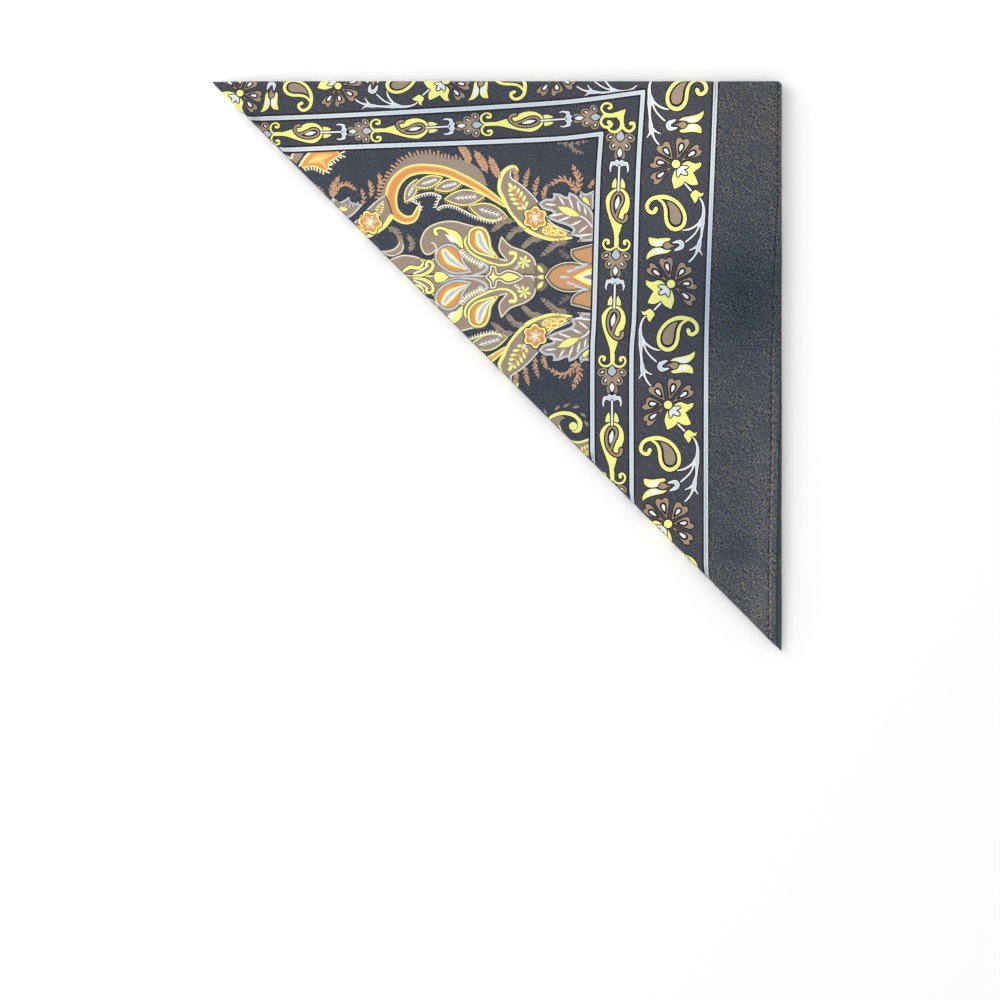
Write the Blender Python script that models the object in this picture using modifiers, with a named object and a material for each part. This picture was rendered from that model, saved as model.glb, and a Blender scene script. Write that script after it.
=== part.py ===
"""A printed cotton neck scarf, folded flat into a right-angled triangle.

One square of cloth with turned hems is folded into a packet and then across its diagonal. The
outermost stretch wraps the packet: the face lies on top, turns round the long slanting fold and
runs back under everything as the flat underside. Seen from above, the corners are A (left, sharp),
B (the right angle) and C (bottom, sharp):

    A---------B      A-B  folded edge: the face turns down over it
      \       |      B-C  hemmed edge: hems of all the stretches lie on each other
        \     |      A-C  the long fold
          \   |
              C

+X runs from A to B, +Y from C to B, +Z up. The origin is at the middle of the bottom of the box.
Metres throughout.
"""

from math import cos, pi, radians, sin, sqrt

import bmesh
import bpy
import numpy as np

# ---------------------------------------------------------------- driving dimensions
LEG = 0.260  # each straight side of the folded triangle
STACK = 0.0056  # the packet's full height, all stretches together
TIP_A_REACH = 0.032  # from here the packet thins to nothing at corner A
TIP_C_REACH = 0.040  # and from here at corner C,
TIP_C_STACK = 0.0041  # where it is still this high

CLOTH = 0.0011  # a stretch's wall
HEM_CLOTH = 0.0014  # the face's wall where its hem is turned under
FULLEST_CLOTH = 0.0018  # no wall is thicker than this
UNDER_CLOTH = 0.0009  # the second stretch's wall
SEAM_GAP = 0.0003  # clear space between stretches
FOLD_REACH = 0.0024  # how far the long fold's round part reaches across the face
TIP_REACH = 0.0140  # below this width a section near corner A is made smaller all over

HEM_WIDTH = 0.0037  # from the hemmed edge to its row of stitches
HEM_STEP = 0.0020  # over this the turned-under hem thins out behind the stitches
STITCH_TROUGH = 0.00014  # depth of the soft groove that the stitches pull in
STITCH_TROUGH_HALF = 0.0009

INNER_LAYERS = 3  # hidden layers that show at the packet's edges
INNER_GROOVE = 0.00045  # depth of the grooves between them
INNER_START = 0.027  # the hidden layers begin this far from corner A
UNDER_START = 0.019  # and the second stretch this far

HALF = LEG / 2

# How far the hemmed edge of the face stops short of the stretch below it, down the side B-C
FACE_SHORT = [  # (distance down from B, set back)
    (0.000, 0.0002),
    (0.090, 0.0003),
    (0.113, 0.0008),
    (0.145, 0.0010),
    (0.165, 0.0016),
    (0.188, 0.0018),
    (0.210, 0.0023),
    (0.226, 0.0025),
    (0.260, 0.0026),
]

# Soft creases in the face: a straight trough or ridge from one point to the other
CREASES = [  # (from x, from y, to x, to y, half width, rise)
    (0.094, -0.078, 0.124, -0.102, 0.0032, -0.00030),
    (0.098, -0.096, 0.121, -0.124, 0.0040, +0.00025),
    (0.100, -0.001, 0.127, -0.004, 0.0022, -0.00018),
    (0.121, 0.0185, 0.130, 0.0180, 0.0016, -0.00016),
    (0.108, 0.069, 0.113, 0.016, 0.0110, -0.00030),
    (0.044, 0.088, 0.099, 0.086, 0.0060, +0.00018),
    (0.026, 0.130, 0.028, 0.094, 0.0050, +0.00018),
    (-0.060, 0.096, 0.010, 0.072, 0.0120, +0.00028),
    (-0.010, 0.040, 0.050, 0.052, 0.0140, -0.00026),
    (0.040, 0.020, 0.074, -0.040, 0.0110, +0.00026),
    (0.060, -0.030, 0.092, -0.062, 0.0070, -0.00020),
    (-0.100, 0.121, -0.030, 0.112, 0.0060, -0.00018),
]

BROAD_CREASE = 0.0100  # creases at least this wide to each side reach the stretches below

# How the top of the face turns down over the folded edge A-B: the middle of its wall
LIP = [  # (in from the edge, down from the face)
    (0.00215, 0.00055),
    (0.00140, 0.00058),
    (0.00094, 0.00072),
    (0.00065, 0.00102),
    (0.00055, 0.00145),
    (0.00055, 0.00195),
]

# Where the grid's lines lie
TIP_MARKS = [0.0001, 0.0010, 0.0025, 0.0045, 0.0075]  # the outer stretch's first sections, from A
RIM_MARKS = [0.0, 0.00012, 0.0004, 0.0009]  # in from a rim
RIM_SHARE = [0.42, 0.72, 0.94, 1.0]  # the wall's share at those marks, which rounds the rim
HEM_MARKS = RIM_MARKS + [0.0018, 0.0028, 0.0037, 0.0046, 0.0060, 0.0090]  # in from the hem
PLAIN_STATIONS = 34  # evenly spaced sections between corner A and the hem's own
FACE_COLUMNS = 22  # across the face in each section
BACK_COLUMNS = 5
FOLD_COLUMNS = 8  # round the long fold
UNDER_COLUMNS = 14
INNER_COLUMNS = 14
LEAN_REACH = 0.045  # over this the sections lean with the hemmed edge

# How far the pieces inside stay from the outer stretch's folds
UNDER_IN_FOLD = 0.0019
UNDER_IN_LIP = 0.0015
INNER_IN_FOLD = 0.0018
INNER_ROUND = 0.0007
INNER_IN_LIP = 0.0007
INNER_IN_HEM = 0.0006
INNER_OFF_C = 0.022
LAYER_PARTS = [0.0, 0.3, 0.7]  # levels within one layer, from groove to groove


# ---------------------------------------------------------------- the packet's shape
def smooth(t):
    t = min(1.0, max(0.0, t))
    return t * t * (3 - 2 * t)


def from_rows(rows, at, value=1):
    return float(np.interp(at, [r[0] for r in rows], [r[value] for r in rows]))


def face_set_back(y):
    """How far the face's hemmed edge lies inside the packet's right side at this height."""
    return from_rows(FACE_SHORT, HALF - y)


def face_edge(y):
    return HALF - face_set_back(y)


def crease_rise(x, y, narrowest=0.0):
    """The rise of the creases that are at least this wide to each side."""
    rise = 0.0
    for x0, y0, x1, y1, half, height in CREASES:
        if half < narrowest:
            continue
        along = np.hypot(x1 - x0, y1 - y0)
        ux, uy = (x1 - x0) / along, (y1 - y0) / along
        t = (x - x0) * ux + (y - y0) * uy
        past = max(0.0, -t, t - along)
        off = (x - x0) * uy - (y - y0) * ux
        rise += height * np.exp(-((off / half) ** 2) - (past / (1.5 * half)) ** 2)
    return rise * smooth(np.hypot(x + HALF, y - HALF) / TIP_A_REACH)


def stack_height(x, y):
    """The packet's height before creases, thinner towards the two sharp corners."""
    from_a = np.hypot(x + HALF, y - HALF)
    from_c = np.hypot(x - HALF, y + HALF)
    thin_c = (STACK - TIP_C_STACK) * (1 - smooth(from_c / TIP_C_REACH))
    return STACK * sin(pi / 2 * min(1.0, from_a / TIP_A_REACH)) - thin_c


def face_top(x, y):
    """The upper surface of the face, with every crease and the trough of the stitches."""
    inward = face_edge(y) - x
    trough = STITCH_TROUGH * np.exp(-(((inward - HEM_WIDTH) / STITCH_TROUGH_HALF) ** 2))
    return stack_height(x, y) + crease_rise(x, y) - trough


def face_underside(x, y, size=1.0):
    """The lower surface of the face, which only the broad creases reach, and which the hem
    that is turned under makes lower."""
    inward = face_edge(y) - x
    hem_share = 1 - smooth((inward - HEM_WIDTH) / HEM_STEP)
    wall = CLOTH + (HEM_CLOTH - CLOTH) * hem_share
    return stack_height(x, y) + crease_rise(x, y, BROAD_CREASE) - wall * size


def under_top(x, y):
    return face_underside(x, y) - SEAM_GAP


def inner_top(x, y):
    return under_top(x, y) - UNDER_CLOTH - SEAM_GAP


# ---------------------------------------------------------------- meshes
def grid_sheet(name, stations, columns, place, wall):
    """An open sheet of stations x columns points, made a wall by Solidify. place(i, j) gives a
    point of the wall's middle and the share of the full wall that it has there."""
    mesh = bpy.data.meshes.new(name)
    bm = bmesh.new()
    bmesh.ops.create_grid(bm, x_segments=stations - 1, y_segments=columns - 1, size=1.0)
    shares = {}
    for vert in bm.verts:
        i = round((vert.co.x + 1) / 2 * (stations - 1))
        j = round((vert.co.y + 1) / 2 * (columns - 1))
        point, share = place(i, j)
        vert.co = point
        shares[vert.index] = share
    bm.verts.index_update()
    order = [vert.index for vert in bm.verts]
    bm.to_mesh(mesh)
    bm.free()
    piece = bpy.data.objects.new(name, mesh)
    group = piece.vertex_groups.new(name="wall")
    for index in order:
        group.add([index], shares[index], "REPLACE")
    solidify = piece.modifiers.new("cloth", "SOLIDIFY")
    solidify.thickness = wall
    solidify.offset = 0
    solidify.vertex_group = group.name
    return piece


def sliced_box(name, stations, columns, levels, place):
    """A box cut by planes into stations x columns x levels points over its skin, with each
    point then moved to place(i, j, k)."""
    mesh = bpy.data.meshes.new(name)
    bm = bmesh.new()
    bmesh.ops.create_cube(bm, size=1.0)
    for axis, count in enumerate((stations, columns, levels)):
        normal = [0.0, 0.0, 0.0]
        normal[axis] = 1.0
        for cut in range(1, count - 1):
            middle = [0.0, 0.0, 0.0]
            middle[axis] = cut / (count - 1) - 0.5
            everything = bm.verts[:] + bm.edges[:] + bm.faces[:]
            bmesh.ops.bisect_plane(bm, geom=everything, plane_co=middle, plane_no=normal)
    for vert in bm.verts:
        i = round((vert.co.x + 0.5) * (stations - 1))
        j = round((vert.co.y + 0.5) * (columns - 1))
        k = round((vert.co.z + 0.5) * (levels - 1))
        vert.co = place(i, j, k)
    bm.to_mesh(mesh)
    bm.free()
    return bpy.data.objects.new(name, mesh)


def cloth_material(name, colour, roughness):
    material = bpy.data.materials.new(name)
    material.use_nodes = True
    shader = material.node_tree.nodes["Principled BSDF"]
    shader.inputs["Base Color"].default_value = (*colour, 1)
    shader.inputs["Roughness"].default_value = roughness
    shader.inputs["Metallic"].default_value = 0.0
    return material


# ---------------------------------------------------------------- where the points lie
def long_fold(x):
    """y of the long fold's line at this x."""
    return -x


def sheared(x, run_of):
    """A point of the section at x, run_of(length) up from the long fold's line. Over its last
    stretch before the hemmed edge the grid leans with that edge."""
    lean = smooth((x - (HALF - LEAN_REACH)) / LEAN_REACH)
    y = long_fold(x) + run_of(x + HALF)
    x -= face_set_back(y) * lean
    return x, long_fold(x) + run_of(x + HALF)


def stations_from(first, hem_marks, plain_count):
    """x of each section, from corner A towards the hemmed edge, where they come closer."""
    plain = np.linspace(first[-1], HALF - hem_marks[-1], plain_count + 1)[1:]
    return first + [float(x) for x in plain] + [HALF - mark for mark in hem_marks[-2::-1]]


def rim_share(from_edge):
    return RIM_SHARE[min(from_edge, len(RIM_SHARE) - 1)]


# ---------------------------------------------------------------- the pieces
def make_outer_fold():
    """The outermost stretch: back, long fold, face and the lip over the folded edge."""
    stations = stations_from([-HALF + mark for mark in TIP_MARKS], HEM_MARKS, PLAIN_STATIONS)
    back = [("back", 1 - k / BACK_COLUMNS) for k in range(BACK_COLUMNS + 1)]
    fold = [("fold", 270 - 180 * k / FOLD_COLUMNS) for k in range(1, FOLD_COLUMNS)]
    face = [("face", k / FACE_COLUMNS) for k in range(FACE_COLUMNS + 1)]
    lip = [("lip", k) for k in range(1, len(LIP))]
    columns = back + fold + face + lip

    def place(i, j):
        kind, value = columns[j]
        length = stations[i] + HALF
        size = min(1.0, length / TIP_REACH)
        wall, reach = CLOTH * size, FOLD_REACH * size
        rim = rim_share(len(stations) - 1 - i) / FULLEST_CLOTH
        round_end = reach * sqrt(2)  # the section cuts the long fold at 45 degrees
        lip_start = LIP[0][0] * size

        if kind == "back":
            x, y = sheared(stations[i], lambda run: round_end + (run - round_end) * value)
            return (x, y, wall / 2), wall * rim
        if kind == "fold":
            angle = radians(value)
            across = reach + (reach - wall / 2) * cos(angle)
            x, y = sheared(stations[i], lambda run: across * sqrt(2))
            height = face_top(x, long_fold(x) + round_end)
            z = height / 2 + (height - wall) / 2 * sin(angle)
            return (x, y, z), wall * rim
        if kind == "face":
            x, y = sheared(
                stations[i], lambda run: round_end + (run - lip_start - round_end) * value
            )
            top, underside = face_top(x, y), face_underside(x, y, size)
            return (x, y, (top + underside) / 2), (top - underside) * rim
        inward, down = (measure * size for measure in LIP[value])
        x, y = sheared(stations[i], lambda run: run - inward)
        return (x, y, face_top(x, HALF - lip_start) - down), wall * rim

    return grid_sheet("outer_fold", len(stations), len(columns), place, FULLEST_CLOTH)


def make_under_stretch():
    """The second stretch, flat under the face. Its hem looks out past the face's edge, and its
    point is the packet's corner C."""
    face_point = HALF - FACE_SHORT[-1][1]  # x where the face's own edge meets the long fold
    last = [HALF - mark for mark in HEM_MARKS[::-1] if HALF - mark > face_point + 0.0006]
    plain = np.linspace(-HALF + UNDER_START + 0.005, face_point - 0.0030, PLAIN_STATIONS)
    stations = [-HALF + UNDER_START + mark for mark in RIM_MARKS]
    stations += [float(x) for x in plain] + [face_point + 0.0003, face_point + 0.0006] + last
    edge = RIM_MARKS
    shares = [k / UNDER_COLUMNS for k in range(1, UNDER_COLUMNS)]

    def place(i, j):
        x = stations[i]
        inside = x < face_point + 0.0004
        low = long_fold(x) + (UNDER_IN_FOLD * sqrt(2) if inside else 0.00005)
        high = HALF - UNDER_IN_LIP
        if j < len(edge):
            y, rim = low + edge[j], rim_share(j)
        elif j < len(edge) + len(shares):
            bottom, top = low + edge[-1], high - edge[-1]
            y, rim = bottom + (top - bottom) * shares[j - len(edge)], 1.0
        else:
            from_end = 2 * len(edge) + len(shares) - 1 - j
            y, rim = high - edge[from_end], rim_share(from_end)
        side = min(len(stations) - 1 - i, i)
        z = under_top(x, y) - UNDER_CLOTH / 2
        return (x, y, z), min(rim, rim_share(side))

    return grid_sheet(
        "under_stretch", len(stations), 2 * len(edge) + len(shares), place, UNDER_CLOTH
    )


def make_inner_layers():
    """The hidden layers, one rounded solid whose edges are grooved into layers."""
    hem_marks = [HEM_MARKS[0]] + HEM_MARKS[len(RIM_MARKS) :]
    stations = stations_from([-HALF + INNER_START], hem_marks, PLAIN_STATIONS - 8)
    level_shares = [
        (layer + part) / INNER_LAYERS for layer in range(INNER_LAYERS) for part in LAYER_PARTS
    ] + [1.0]

    def set_in(k):
        """How deep the layered edge is set in at this level."""
        part = level_shares[k] * INNER_LAYERS % 1.0
        off = min(part, 1 - part) * 2
        return INNER_GROOVE * (1 - sqrt(1 - (1 - off) ** 2))

    def place(i, j, k):
        x = stations[i]
        if i == 0:
            x += set_in(k)
        if i == len(stations) - 1:
            x -= set_in(k)
        off_middle = abs(2 * level_shares[k] - 1)
        rounded = INNER_ROUND * (1 - sqrt(1 - off_middle**2))

        def run_of(run):
            start = (INNER_IN_FOLD + rounded) * sqrt(2)
            clear_of_c = INNER_OFF_C - (HALF - x)
            start = start + max(0.0, clear_of_c - start)
            end = run - INNER_IN_LIP - set_in(k)
            return start + (end - start) * j / INNER_COLUMNS

        x, y = sheared(x - INNER_IN_HEM * smooth((x - HALF + 0.02) / 0.02), run_of)
        bottom = CLOTH + SEAM_GAP
        return x, y, bottom + (inner_top(x, y) - bottom) * level_shares[k]

    return sliced_box(
        "inner_layers", len(stations), INNER_COLUMNS + 1, len(level_shares), place
    )


# ---------------------------------------------------------------- the scene
def main():
    for old in list(bpy.data.objects):
        bpy.data.objects.remove(old, do_unlink=True)
    collection = bpy.data.collections.new("folded_neck_scarf")
    bpy.context.scene.collection.children.link(collection)
    pieces = [
        (make_outer_fold(), (0.065, 0.071, 0.092), 0.86),
        (make_under_stretch(), (0.058, 0.080, 0.090), 0.84),
        (make_inner_layers(), (0.070, 0.074, 0.082), 0.88),
    ]
    for piece, colour, roughness in pieces:
        collection.objects.link(piece)
        piece.data.materials.append(
            cloth_material("cotton_" + piece.name, colour, roughness)
        )
        piece.data.shade_smooth()
        piece.data.set_sharp_from_angle(angle=radians(50))


main()
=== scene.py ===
"""Looks of a printed cotton neck scarf that lies folded into a right-angled triangle.

The print is drawn once on the flat cloth, as smooth outlines in painter's order, and the cloth is
then laid: flat on top of the packet, over the folded edge A-B, under at the hemmed edge B-C and
round the long fold A-C to the underside. World metres, +Z up; the print is drawn in millimetres.

    A---------B      A-B  folded edge        A (-130, 130)  B (130, 130)  C (130, -130)
      \\       |      B-C  hemmed edge        the long fold is the line y = -x
        \\     |      A-C  long fold
          \\   |
              C
"""

from math import cos, pi, radians, sin, sqrt, tau

import bmesh
import bpy
import numpy as np
from mathutils.geometry import delaunay_2d_cdt
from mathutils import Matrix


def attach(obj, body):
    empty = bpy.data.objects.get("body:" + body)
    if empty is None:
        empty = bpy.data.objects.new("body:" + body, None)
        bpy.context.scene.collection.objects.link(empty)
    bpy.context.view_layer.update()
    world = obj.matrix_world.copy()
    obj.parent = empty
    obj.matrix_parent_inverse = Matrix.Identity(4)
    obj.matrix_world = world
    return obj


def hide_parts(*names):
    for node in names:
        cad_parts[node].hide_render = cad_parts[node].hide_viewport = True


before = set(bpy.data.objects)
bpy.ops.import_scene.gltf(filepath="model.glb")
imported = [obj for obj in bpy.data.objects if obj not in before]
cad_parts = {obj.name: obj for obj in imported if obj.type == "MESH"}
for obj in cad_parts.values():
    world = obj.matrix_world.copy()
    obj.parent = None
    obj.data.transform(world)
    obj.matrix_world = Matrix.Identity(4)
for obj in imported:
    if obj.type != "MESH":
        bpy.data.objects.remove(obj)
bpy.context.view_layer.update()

MM = 0.001

# ---------------------------------------------------------------- the packet, as the CAD has it
LEG = 0.260  # the triangle's two straight sides
HALF = LEG / 2
STACK = 0.0056  # how thick the packet is
TIP_A_REACH = 0.032  # it thins towards corner A over this distance
TIP_C_REACH = 0.040  # and towards corner C over this one
TIP_C_STACK = 0.0041  # to this thickness
FOLD_REACH = 0.0024  # how far the long fold's round part reaches over the packet
TIP_REACH = 0.0140  # its size grows from nothing over this distance from corner A
HEM_WIDTH = 0.0037
CLOTH = 0.0011  # the outermost stretch with the air around it
UNDER_CLOTH = 0.0009
SEAM_GAP = 0.0003

FACE_SHORT = [  # (distance down from B, set back of the face's hemmed edge)
    (0.000, 0.0002),
    (0.090, 0.0003),
    (0.113, 0.0008),
    (0.145, 0.0010),
    (0.165, 0.0016),
    (0.188, 0.0018),
    (0.210, 0.0023),
    (0.226, 0.0025),
    (0.260, 0.0026),
]

CREASES = [  # (from x, from y, to x, to y, half width, rise)
    (0.094, -0.078, 0.124, -0.102, 0.0032, -0.00030),
    (0.098, -0.096, 0.121, -0.124, 0.0040, +0.00025),
    (0.100, -0.001, 0.127, -0.004, 0.0022, -0.00018),
    (0.121, 0.0185, 0.130, 0.0180, 0.0016, -0.00016),
    (0.108, 0.069, 0.113, 0.016, 0.0110, -0.00030),
    (0.044, 0.088, 0.099, 0.086, 0.0060, +0.00018),
    (0.026, 0.130, 0.028, 0.094, 0.0050, +0.00018),
    (-0.060, 0.096, 0.010, 0.072, 0.0120, +0.00028),
    (-0.010, 0.040, 0.050, 0.052, 0.0140, -0.00026),
    (0.040, 0.020, 0.074, -0.040, 0.0110, +0.00026),
    (0.060, -0.030, 0.092, -0.062, 0.0070, -0.00020),
    (-0.100, 0.121, -0.030, 0.112, 0.0060, -0.00018),
]

# ---------------------------------------------------------------- what only the looks need
HEM_ROLL = 0.0006  # radius of the rolled edge at the hem
HEM_RETURN = 0.0026  # how far the cloth then runs back inside
LIP_PROFILE = [  # the turned-down edge A-B: (in from the edge, down from the face)
    (0.00215, 0.00000),
    (0.00140, 0.00004),
    (0.00085, 0.00018),
    (0.00042, 0.00045),
    (0.00014, 0.00085),
    (0.00002, 0.00130),
    (0.00000, 0.00180),
    (0.00012, 0.00215),
    (0.00045, 0.00238),
    (0.00100, 0.00235),
]
BACK_ROLL = 0.0005  # radius of the underside's edge where it turns up at A-B
BACK_TUCK = BACK_ROLL * 1.2  # how far in from the edge that turn starts
FOLD_CLEAR = 0.0009  # what is turned under at the hem stays this far inside the long fold
A_CUT, B_CUT, C_CUT = 0.0008, 0.003, 0.005  # the flat cloth's corners are cut off this far in
B_BACK_CUT, C_BACK_CUT = 0.004, 0.006  # and on the underside

STITCH_LINE = [  # (distance down from B, in from the packet's right side)
    (0.000, 0.0018),
    (0.055, 0.0021),
    (0.073, 0.0031),
    (0.111, 0.0042),
    (0.123, 0.0048),
    (0.165, 0.0050),
    (0.196, 0.0056),
    (0.214, 0.0061),
    (0.260, 0.0061),
]
STITCH_FROM = 0.0035  # from B down to the first stitch
STITCH_PITCH = 0.0038
STITCH_LENGTH = 0.0014
STITCH_WIDTH = 0.00070
STITCHES_TO = 0.0075  # the last stitch is this far above corner C


def smooth(t):
    """From 0 to 1 as t does, level at both ends."""
    t = np.clip(t, 0.0, 1.0)
    return t * t * (3 - 2 * t)


def from_rows(rows, at):
    """The second value of the rows, read off at a place along the first."""
    return np.interp(at, *np.array(rows).T)


def face_edge(y):
    """Where the face's hemmed edge is."""
    return HALF - from_rows(FACE_SHORT, HALF - y)


def stitch_x(y):
    """Where the row of stitches is."""
    return HALF - from_rows(STITCH_LINE, HALF - y)


def stack_height(x, y):
    """How thick the packet is, without creases."""
    from_a = np.hypot(x + HALF, y - HALF)
    from_c = np.hypot(x - HALF, y + HALF)
    thin_c = (STACK - TIP_C_STACK) * (1 - smooth(from_c / TIP_C_REACH))
    return STACK * np.sin(pi / 2 * np.minimum(1.0, from_a / TIP_A_REACH)) - thin_c


def crease_rise(x, y, narrowest=0.0):
    """What the creases add, but for those narrower than the narrowest."""
    rise = np.zeros_like(x)
    for x0, y0, x1, y1, half, height in CREASES:
        if half < narrowest:
            continue
        along = np.hypot(x1 - x0, y1 - y0)
        ux, uy = (x1 - x0) / along, (y1 - y0) / along
        t = (x - x0) * ux + (y - y0) * uy
        past = np.maximum(0.0, np.maximum(-t, t - along))
        off = (x - x0) * uy - (y - y0) * ux
        rise += height * np.exp(-((off / half) ** 2) - (past / (1.5 * half)) ** 2)
    return rise * smooth(np.hypot(x + HALF, y - HALF) / TIP_A_REACH)


PUCKERS = [  # small puckers that the sewing draws in: (pitch, slant, rise, phase)
    (0.0038, 0.0, 0.00007, 0.4),
    (0.0047, 1.1, 0.00006, 2.1),
    (0.0063, -1.3, 0.00005, 4.0),
    (0.0029, 0.7, 0.00004, 1.2),
]


def pucker_rise(x, y):
    """The small uneven puckers between the row of stitches and the hem's edge."""
    from_stitch = (x - stitch_x(y)) / HEM_WIDTH
    window = np.exp(-(((from_stitch - 0.35) / 0.75) ** 2))
    rise = np.zeros_like(x)
    for pitch, slant, height, phase in PUCKERS:
        rise += height * np.sin(tau * (y + slant * x) / pitch + phase + 2.0 * np.sin(y / 0.011))
    trough = 0.00016 * np.exp(-((from_stitch / 0.2) ** 2))
    return rise * window - trough


def face_top(x, y):
    """The height of the face."""
    tip = smooth(np.hypot(x + HALF, y - HALF) / TIP_A_REACH)
    return stack_height(x, y) + crease_rise(x, y) + pucker_rise(x, y) * tip


# ---------------------------------------------------------------- laying the flat cloth
def distances(points):
    """Distances along a line of points, from its start."""
    steps = np.hypot(*np.diff(np.array(points), axis=0).T)
    return np.concatenate([[0.0], np.cumsum(steps)])


LIP_ALONG = distances(LIP_PROFILE)
LIP_IN, LIP_DOWN = np.array(LIP_PROFILE).T


def fold_sizes(along):
    """At each place along the long fold: how far its round part reaches, how high it is, and
    how much cloth goes round it. They shrink to nothing at corner A."""
    size = np.clip((along / sqrt(2) + HALF) / TIP_REACH, 0.0, 1.0)
    reach = FOLD_REACH * size
    x = (along + reach) / sqrt(2)
    y = (reach - along) / sqrt(2)
    height = np.maximum(face_top(x, y), 1e-5)
    round_part = pi * np.sqrt((reach**2 + (height / 2) ** 2) / 2)
    return size, reach, height, round_part


def laid(cloth):
    """Where points of the flat cloth lie on the folded scarf. On the face a point keeps its
    place; past the long fold's line the cloth goes round and back under."""
    x, y = cloth[:, 0], cloth[:, 1]
    along, across = (x - y) / sqrt(2), (x + y) / sqrt(2)
    size, reach, height, round_part = fold_sizes(along)
    past = reach - across
    angle = pi * np.clip(past / round_part, 0.0, 1.0)
    on_back = past > round_part
    on_face = past < 0
    low = np.where(on_back, past - round_part + reach, reach * (1 - np.sin(angle)))
    low = np.where(on_face, across, low)
    wx, wy = (along + low) / sqrt(2), (low - along) / sqrt(2)
    lip_start = HALF - LIP_IN[0] * size
    inner_y = np.minimum(wy, lip_start)
    top = face_top(np.minimum(wx, face_edge(wy)), inner_y)
    wz = np.where(on_face, top, height * (1 + np.cos(angle)) / 2)
    wz = np.where(on_back, 0.0, wz)

    # the hemmed edge rolls in towards the inside of the packet
    edge = face_edge(wy)
    turn = np.clip((wx - edge + HEM_ROLL) / HEM_ROLL, 0.0, pi)
    back_in = np.maximum(0.0, wx - edge + HEM_ROLL - pi * HEM_ROLL)
    wx = np.where(turn > 0, edge - HEM_ROLL + HEM_ROLL * np.sin(turn) - back_in, wx)
    inward = HEM_ROLL * (1 - np.cos(turn))
    wz -= inward * np.cos(angle)
    wx += inward * np.sin(angle) / sqrt(2)
    wy = wy + inward * np.sin(angle) / sqrt(2)
    # and what is turned under stays inside the long fold
    beyond = np.maximum(0.0, FOLD_CLEAR * turn / pi - (wx + wy) / sqrt(2)) * (turn > 0)
    wx, wy = wx + beyond / sqrt(2), wy + beyond / sqrt(2)

    # the folded edge A-B: the face turns down over it, the back turns up a little
    past_lip = np.maximum(0.0, wy - lip_start) / np.maximum(size, 1e-6)
    over = on_face & (past_lip > 0)
    back_turn = np.clip((wy - HALF + BACK_TUCK) / BACK_ROLL, 0.0, pi)
    up = on_back & (back_turn > 0)
    wz = np.where(over, wz - np.interp(past_lip, LIP_ALONG, LIP_DOWN) * size, wz)
    wz = np.where(up, wz + BACK_ROLL * size * (1 - np.cos(back_turn)), wz)
    tucked = HALF - BACK_TUCK + BACK_ROLL * np.sin(back_turn)
    lip_y = HALF - np.interp(past_lip, LIP_ALONG, LIP_IN) * size
    wy = np.where(over, lip_y, np.where(up, tucked, wy))
    return np.stack([wx, wy, np.maximum(wz, 0.0)], axis=1)


def cloth_outline():
    """The outermost stretch laid flat: the face, and past the long fold the back, with what
    turns under at its edges."""
    spare_hem = pi * HEM_ROLL + HEM_RETURN
    spare_lip = LIP_ALONG[-1] - LIP_IN[0]
    spare_back = pi * BACK_ROLL * 0.8

    def past_edge(x, spare):
        return HALF + spare * min(1.0, (x + HALF) / TIP_REACH)

    def back_point(wx, wy):
        along = (wx - wy) / sqrt(2)
        _, reach, _, round_part = fold_sizes(np.array([along]))
        across = 2 * reach[0] - round_part[0] - (wx + wy) / sqrt(2)
        return (along + across) / sqrt(2), (across - along) / sqrt(2)

    along_top = np.linspace(-HALF + A_CUT, HALF - B_CUT, 100)
    back_left = np.linspace(HALF - B_CUT, -HALF + A_CUT, 100)
    down_right = np.linspace(HALF, -HALF + C_CUT, 90)
    up_right = np.linspace(-HALF + C_BACK_CUT, HALF - B_BACK_CUT, 90)
    top = [(x, past_edge(x, spare_lip)) for x in along_top]
    right = [(face_edge(y) + spare_hem, y) for y in down_right]
    bottom = [back_point(face_edge(y) + spare_hem, y) for y in up_right]
    left = [back_point(x, past_edge(x, spare_back)) for x in back_left]
    return np.array([(-HALF, HALF)] + top + right + bottom + left)


# ---------------------------------------------------------------- drawing, in millimetres
# A drawing is a list of (ink, outline). What comes later covers what came before.
STEP = 0.95  # spacing of the points along a drawn line
RIM = 0.46  # the dark line round most motifs
EDGE = 0.45  # the white edge of a blue stroke
EDGED_RIM = 0.42  # and the dark line round it
FINE_RIM = 0.3  # the dark line round the field's thin strokes


def through(points, closed=False, corners=(), step=STEP):
    """A smooth line through the points, which turns sharply at those named as corners."""
    knots = np.array(points, float)
    count = len(knots)

    def slope(k, chord):
        if k in corners or (not closed and k in (0, count - 1)):
            return chord / np.hypot(*chord)
        before, after = knots[k - 1], knots[(k + 1) % count]
        return (after - before) / (np.hypot(*(knots[k] - before)) + np.hypot(*(after - knots[k])))

    line = []
    for k in range(count if closed else count - 1):
        start, end = knots[k], knots[(k + 1) % count]
        chord = end - start
        span = np.hypot(*chord)
        leave, arrive = slope(k, chord) * span, slope((k + 1) % count, chord) * span
        pieces = max(2, int(np.ceil(span / step)))
        t = np.arange(pieces)[:, None] / pieces
        line.append(
            start * (2 * t**3 - 3 * t**2 + 1)
            + leave * (t**3 - 2 * t**2 + t)
            + end * (3 * t**2 - 2 * t**3)
            + arrive * (t**3 - t**2)
        )
    if not closed:
        line.append(knots[-1][None])
    return np.vstack(line)


def shape(points, corners=()):
    """A smooth closed outline."""
    return through(points, closed=True, corners=corners)


def mirrored(points, corners=()):
    """A smooth outline given by its one half, from its first to its last point on the axis."""
    other = [(a, -b) for a, b in points[-2:0:-1]]
    count = len(points) + len(other)
    both = set(corners) | {(count - k) % count for k in corners}
    return shape(list(points) + other, corners=both)


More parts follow.
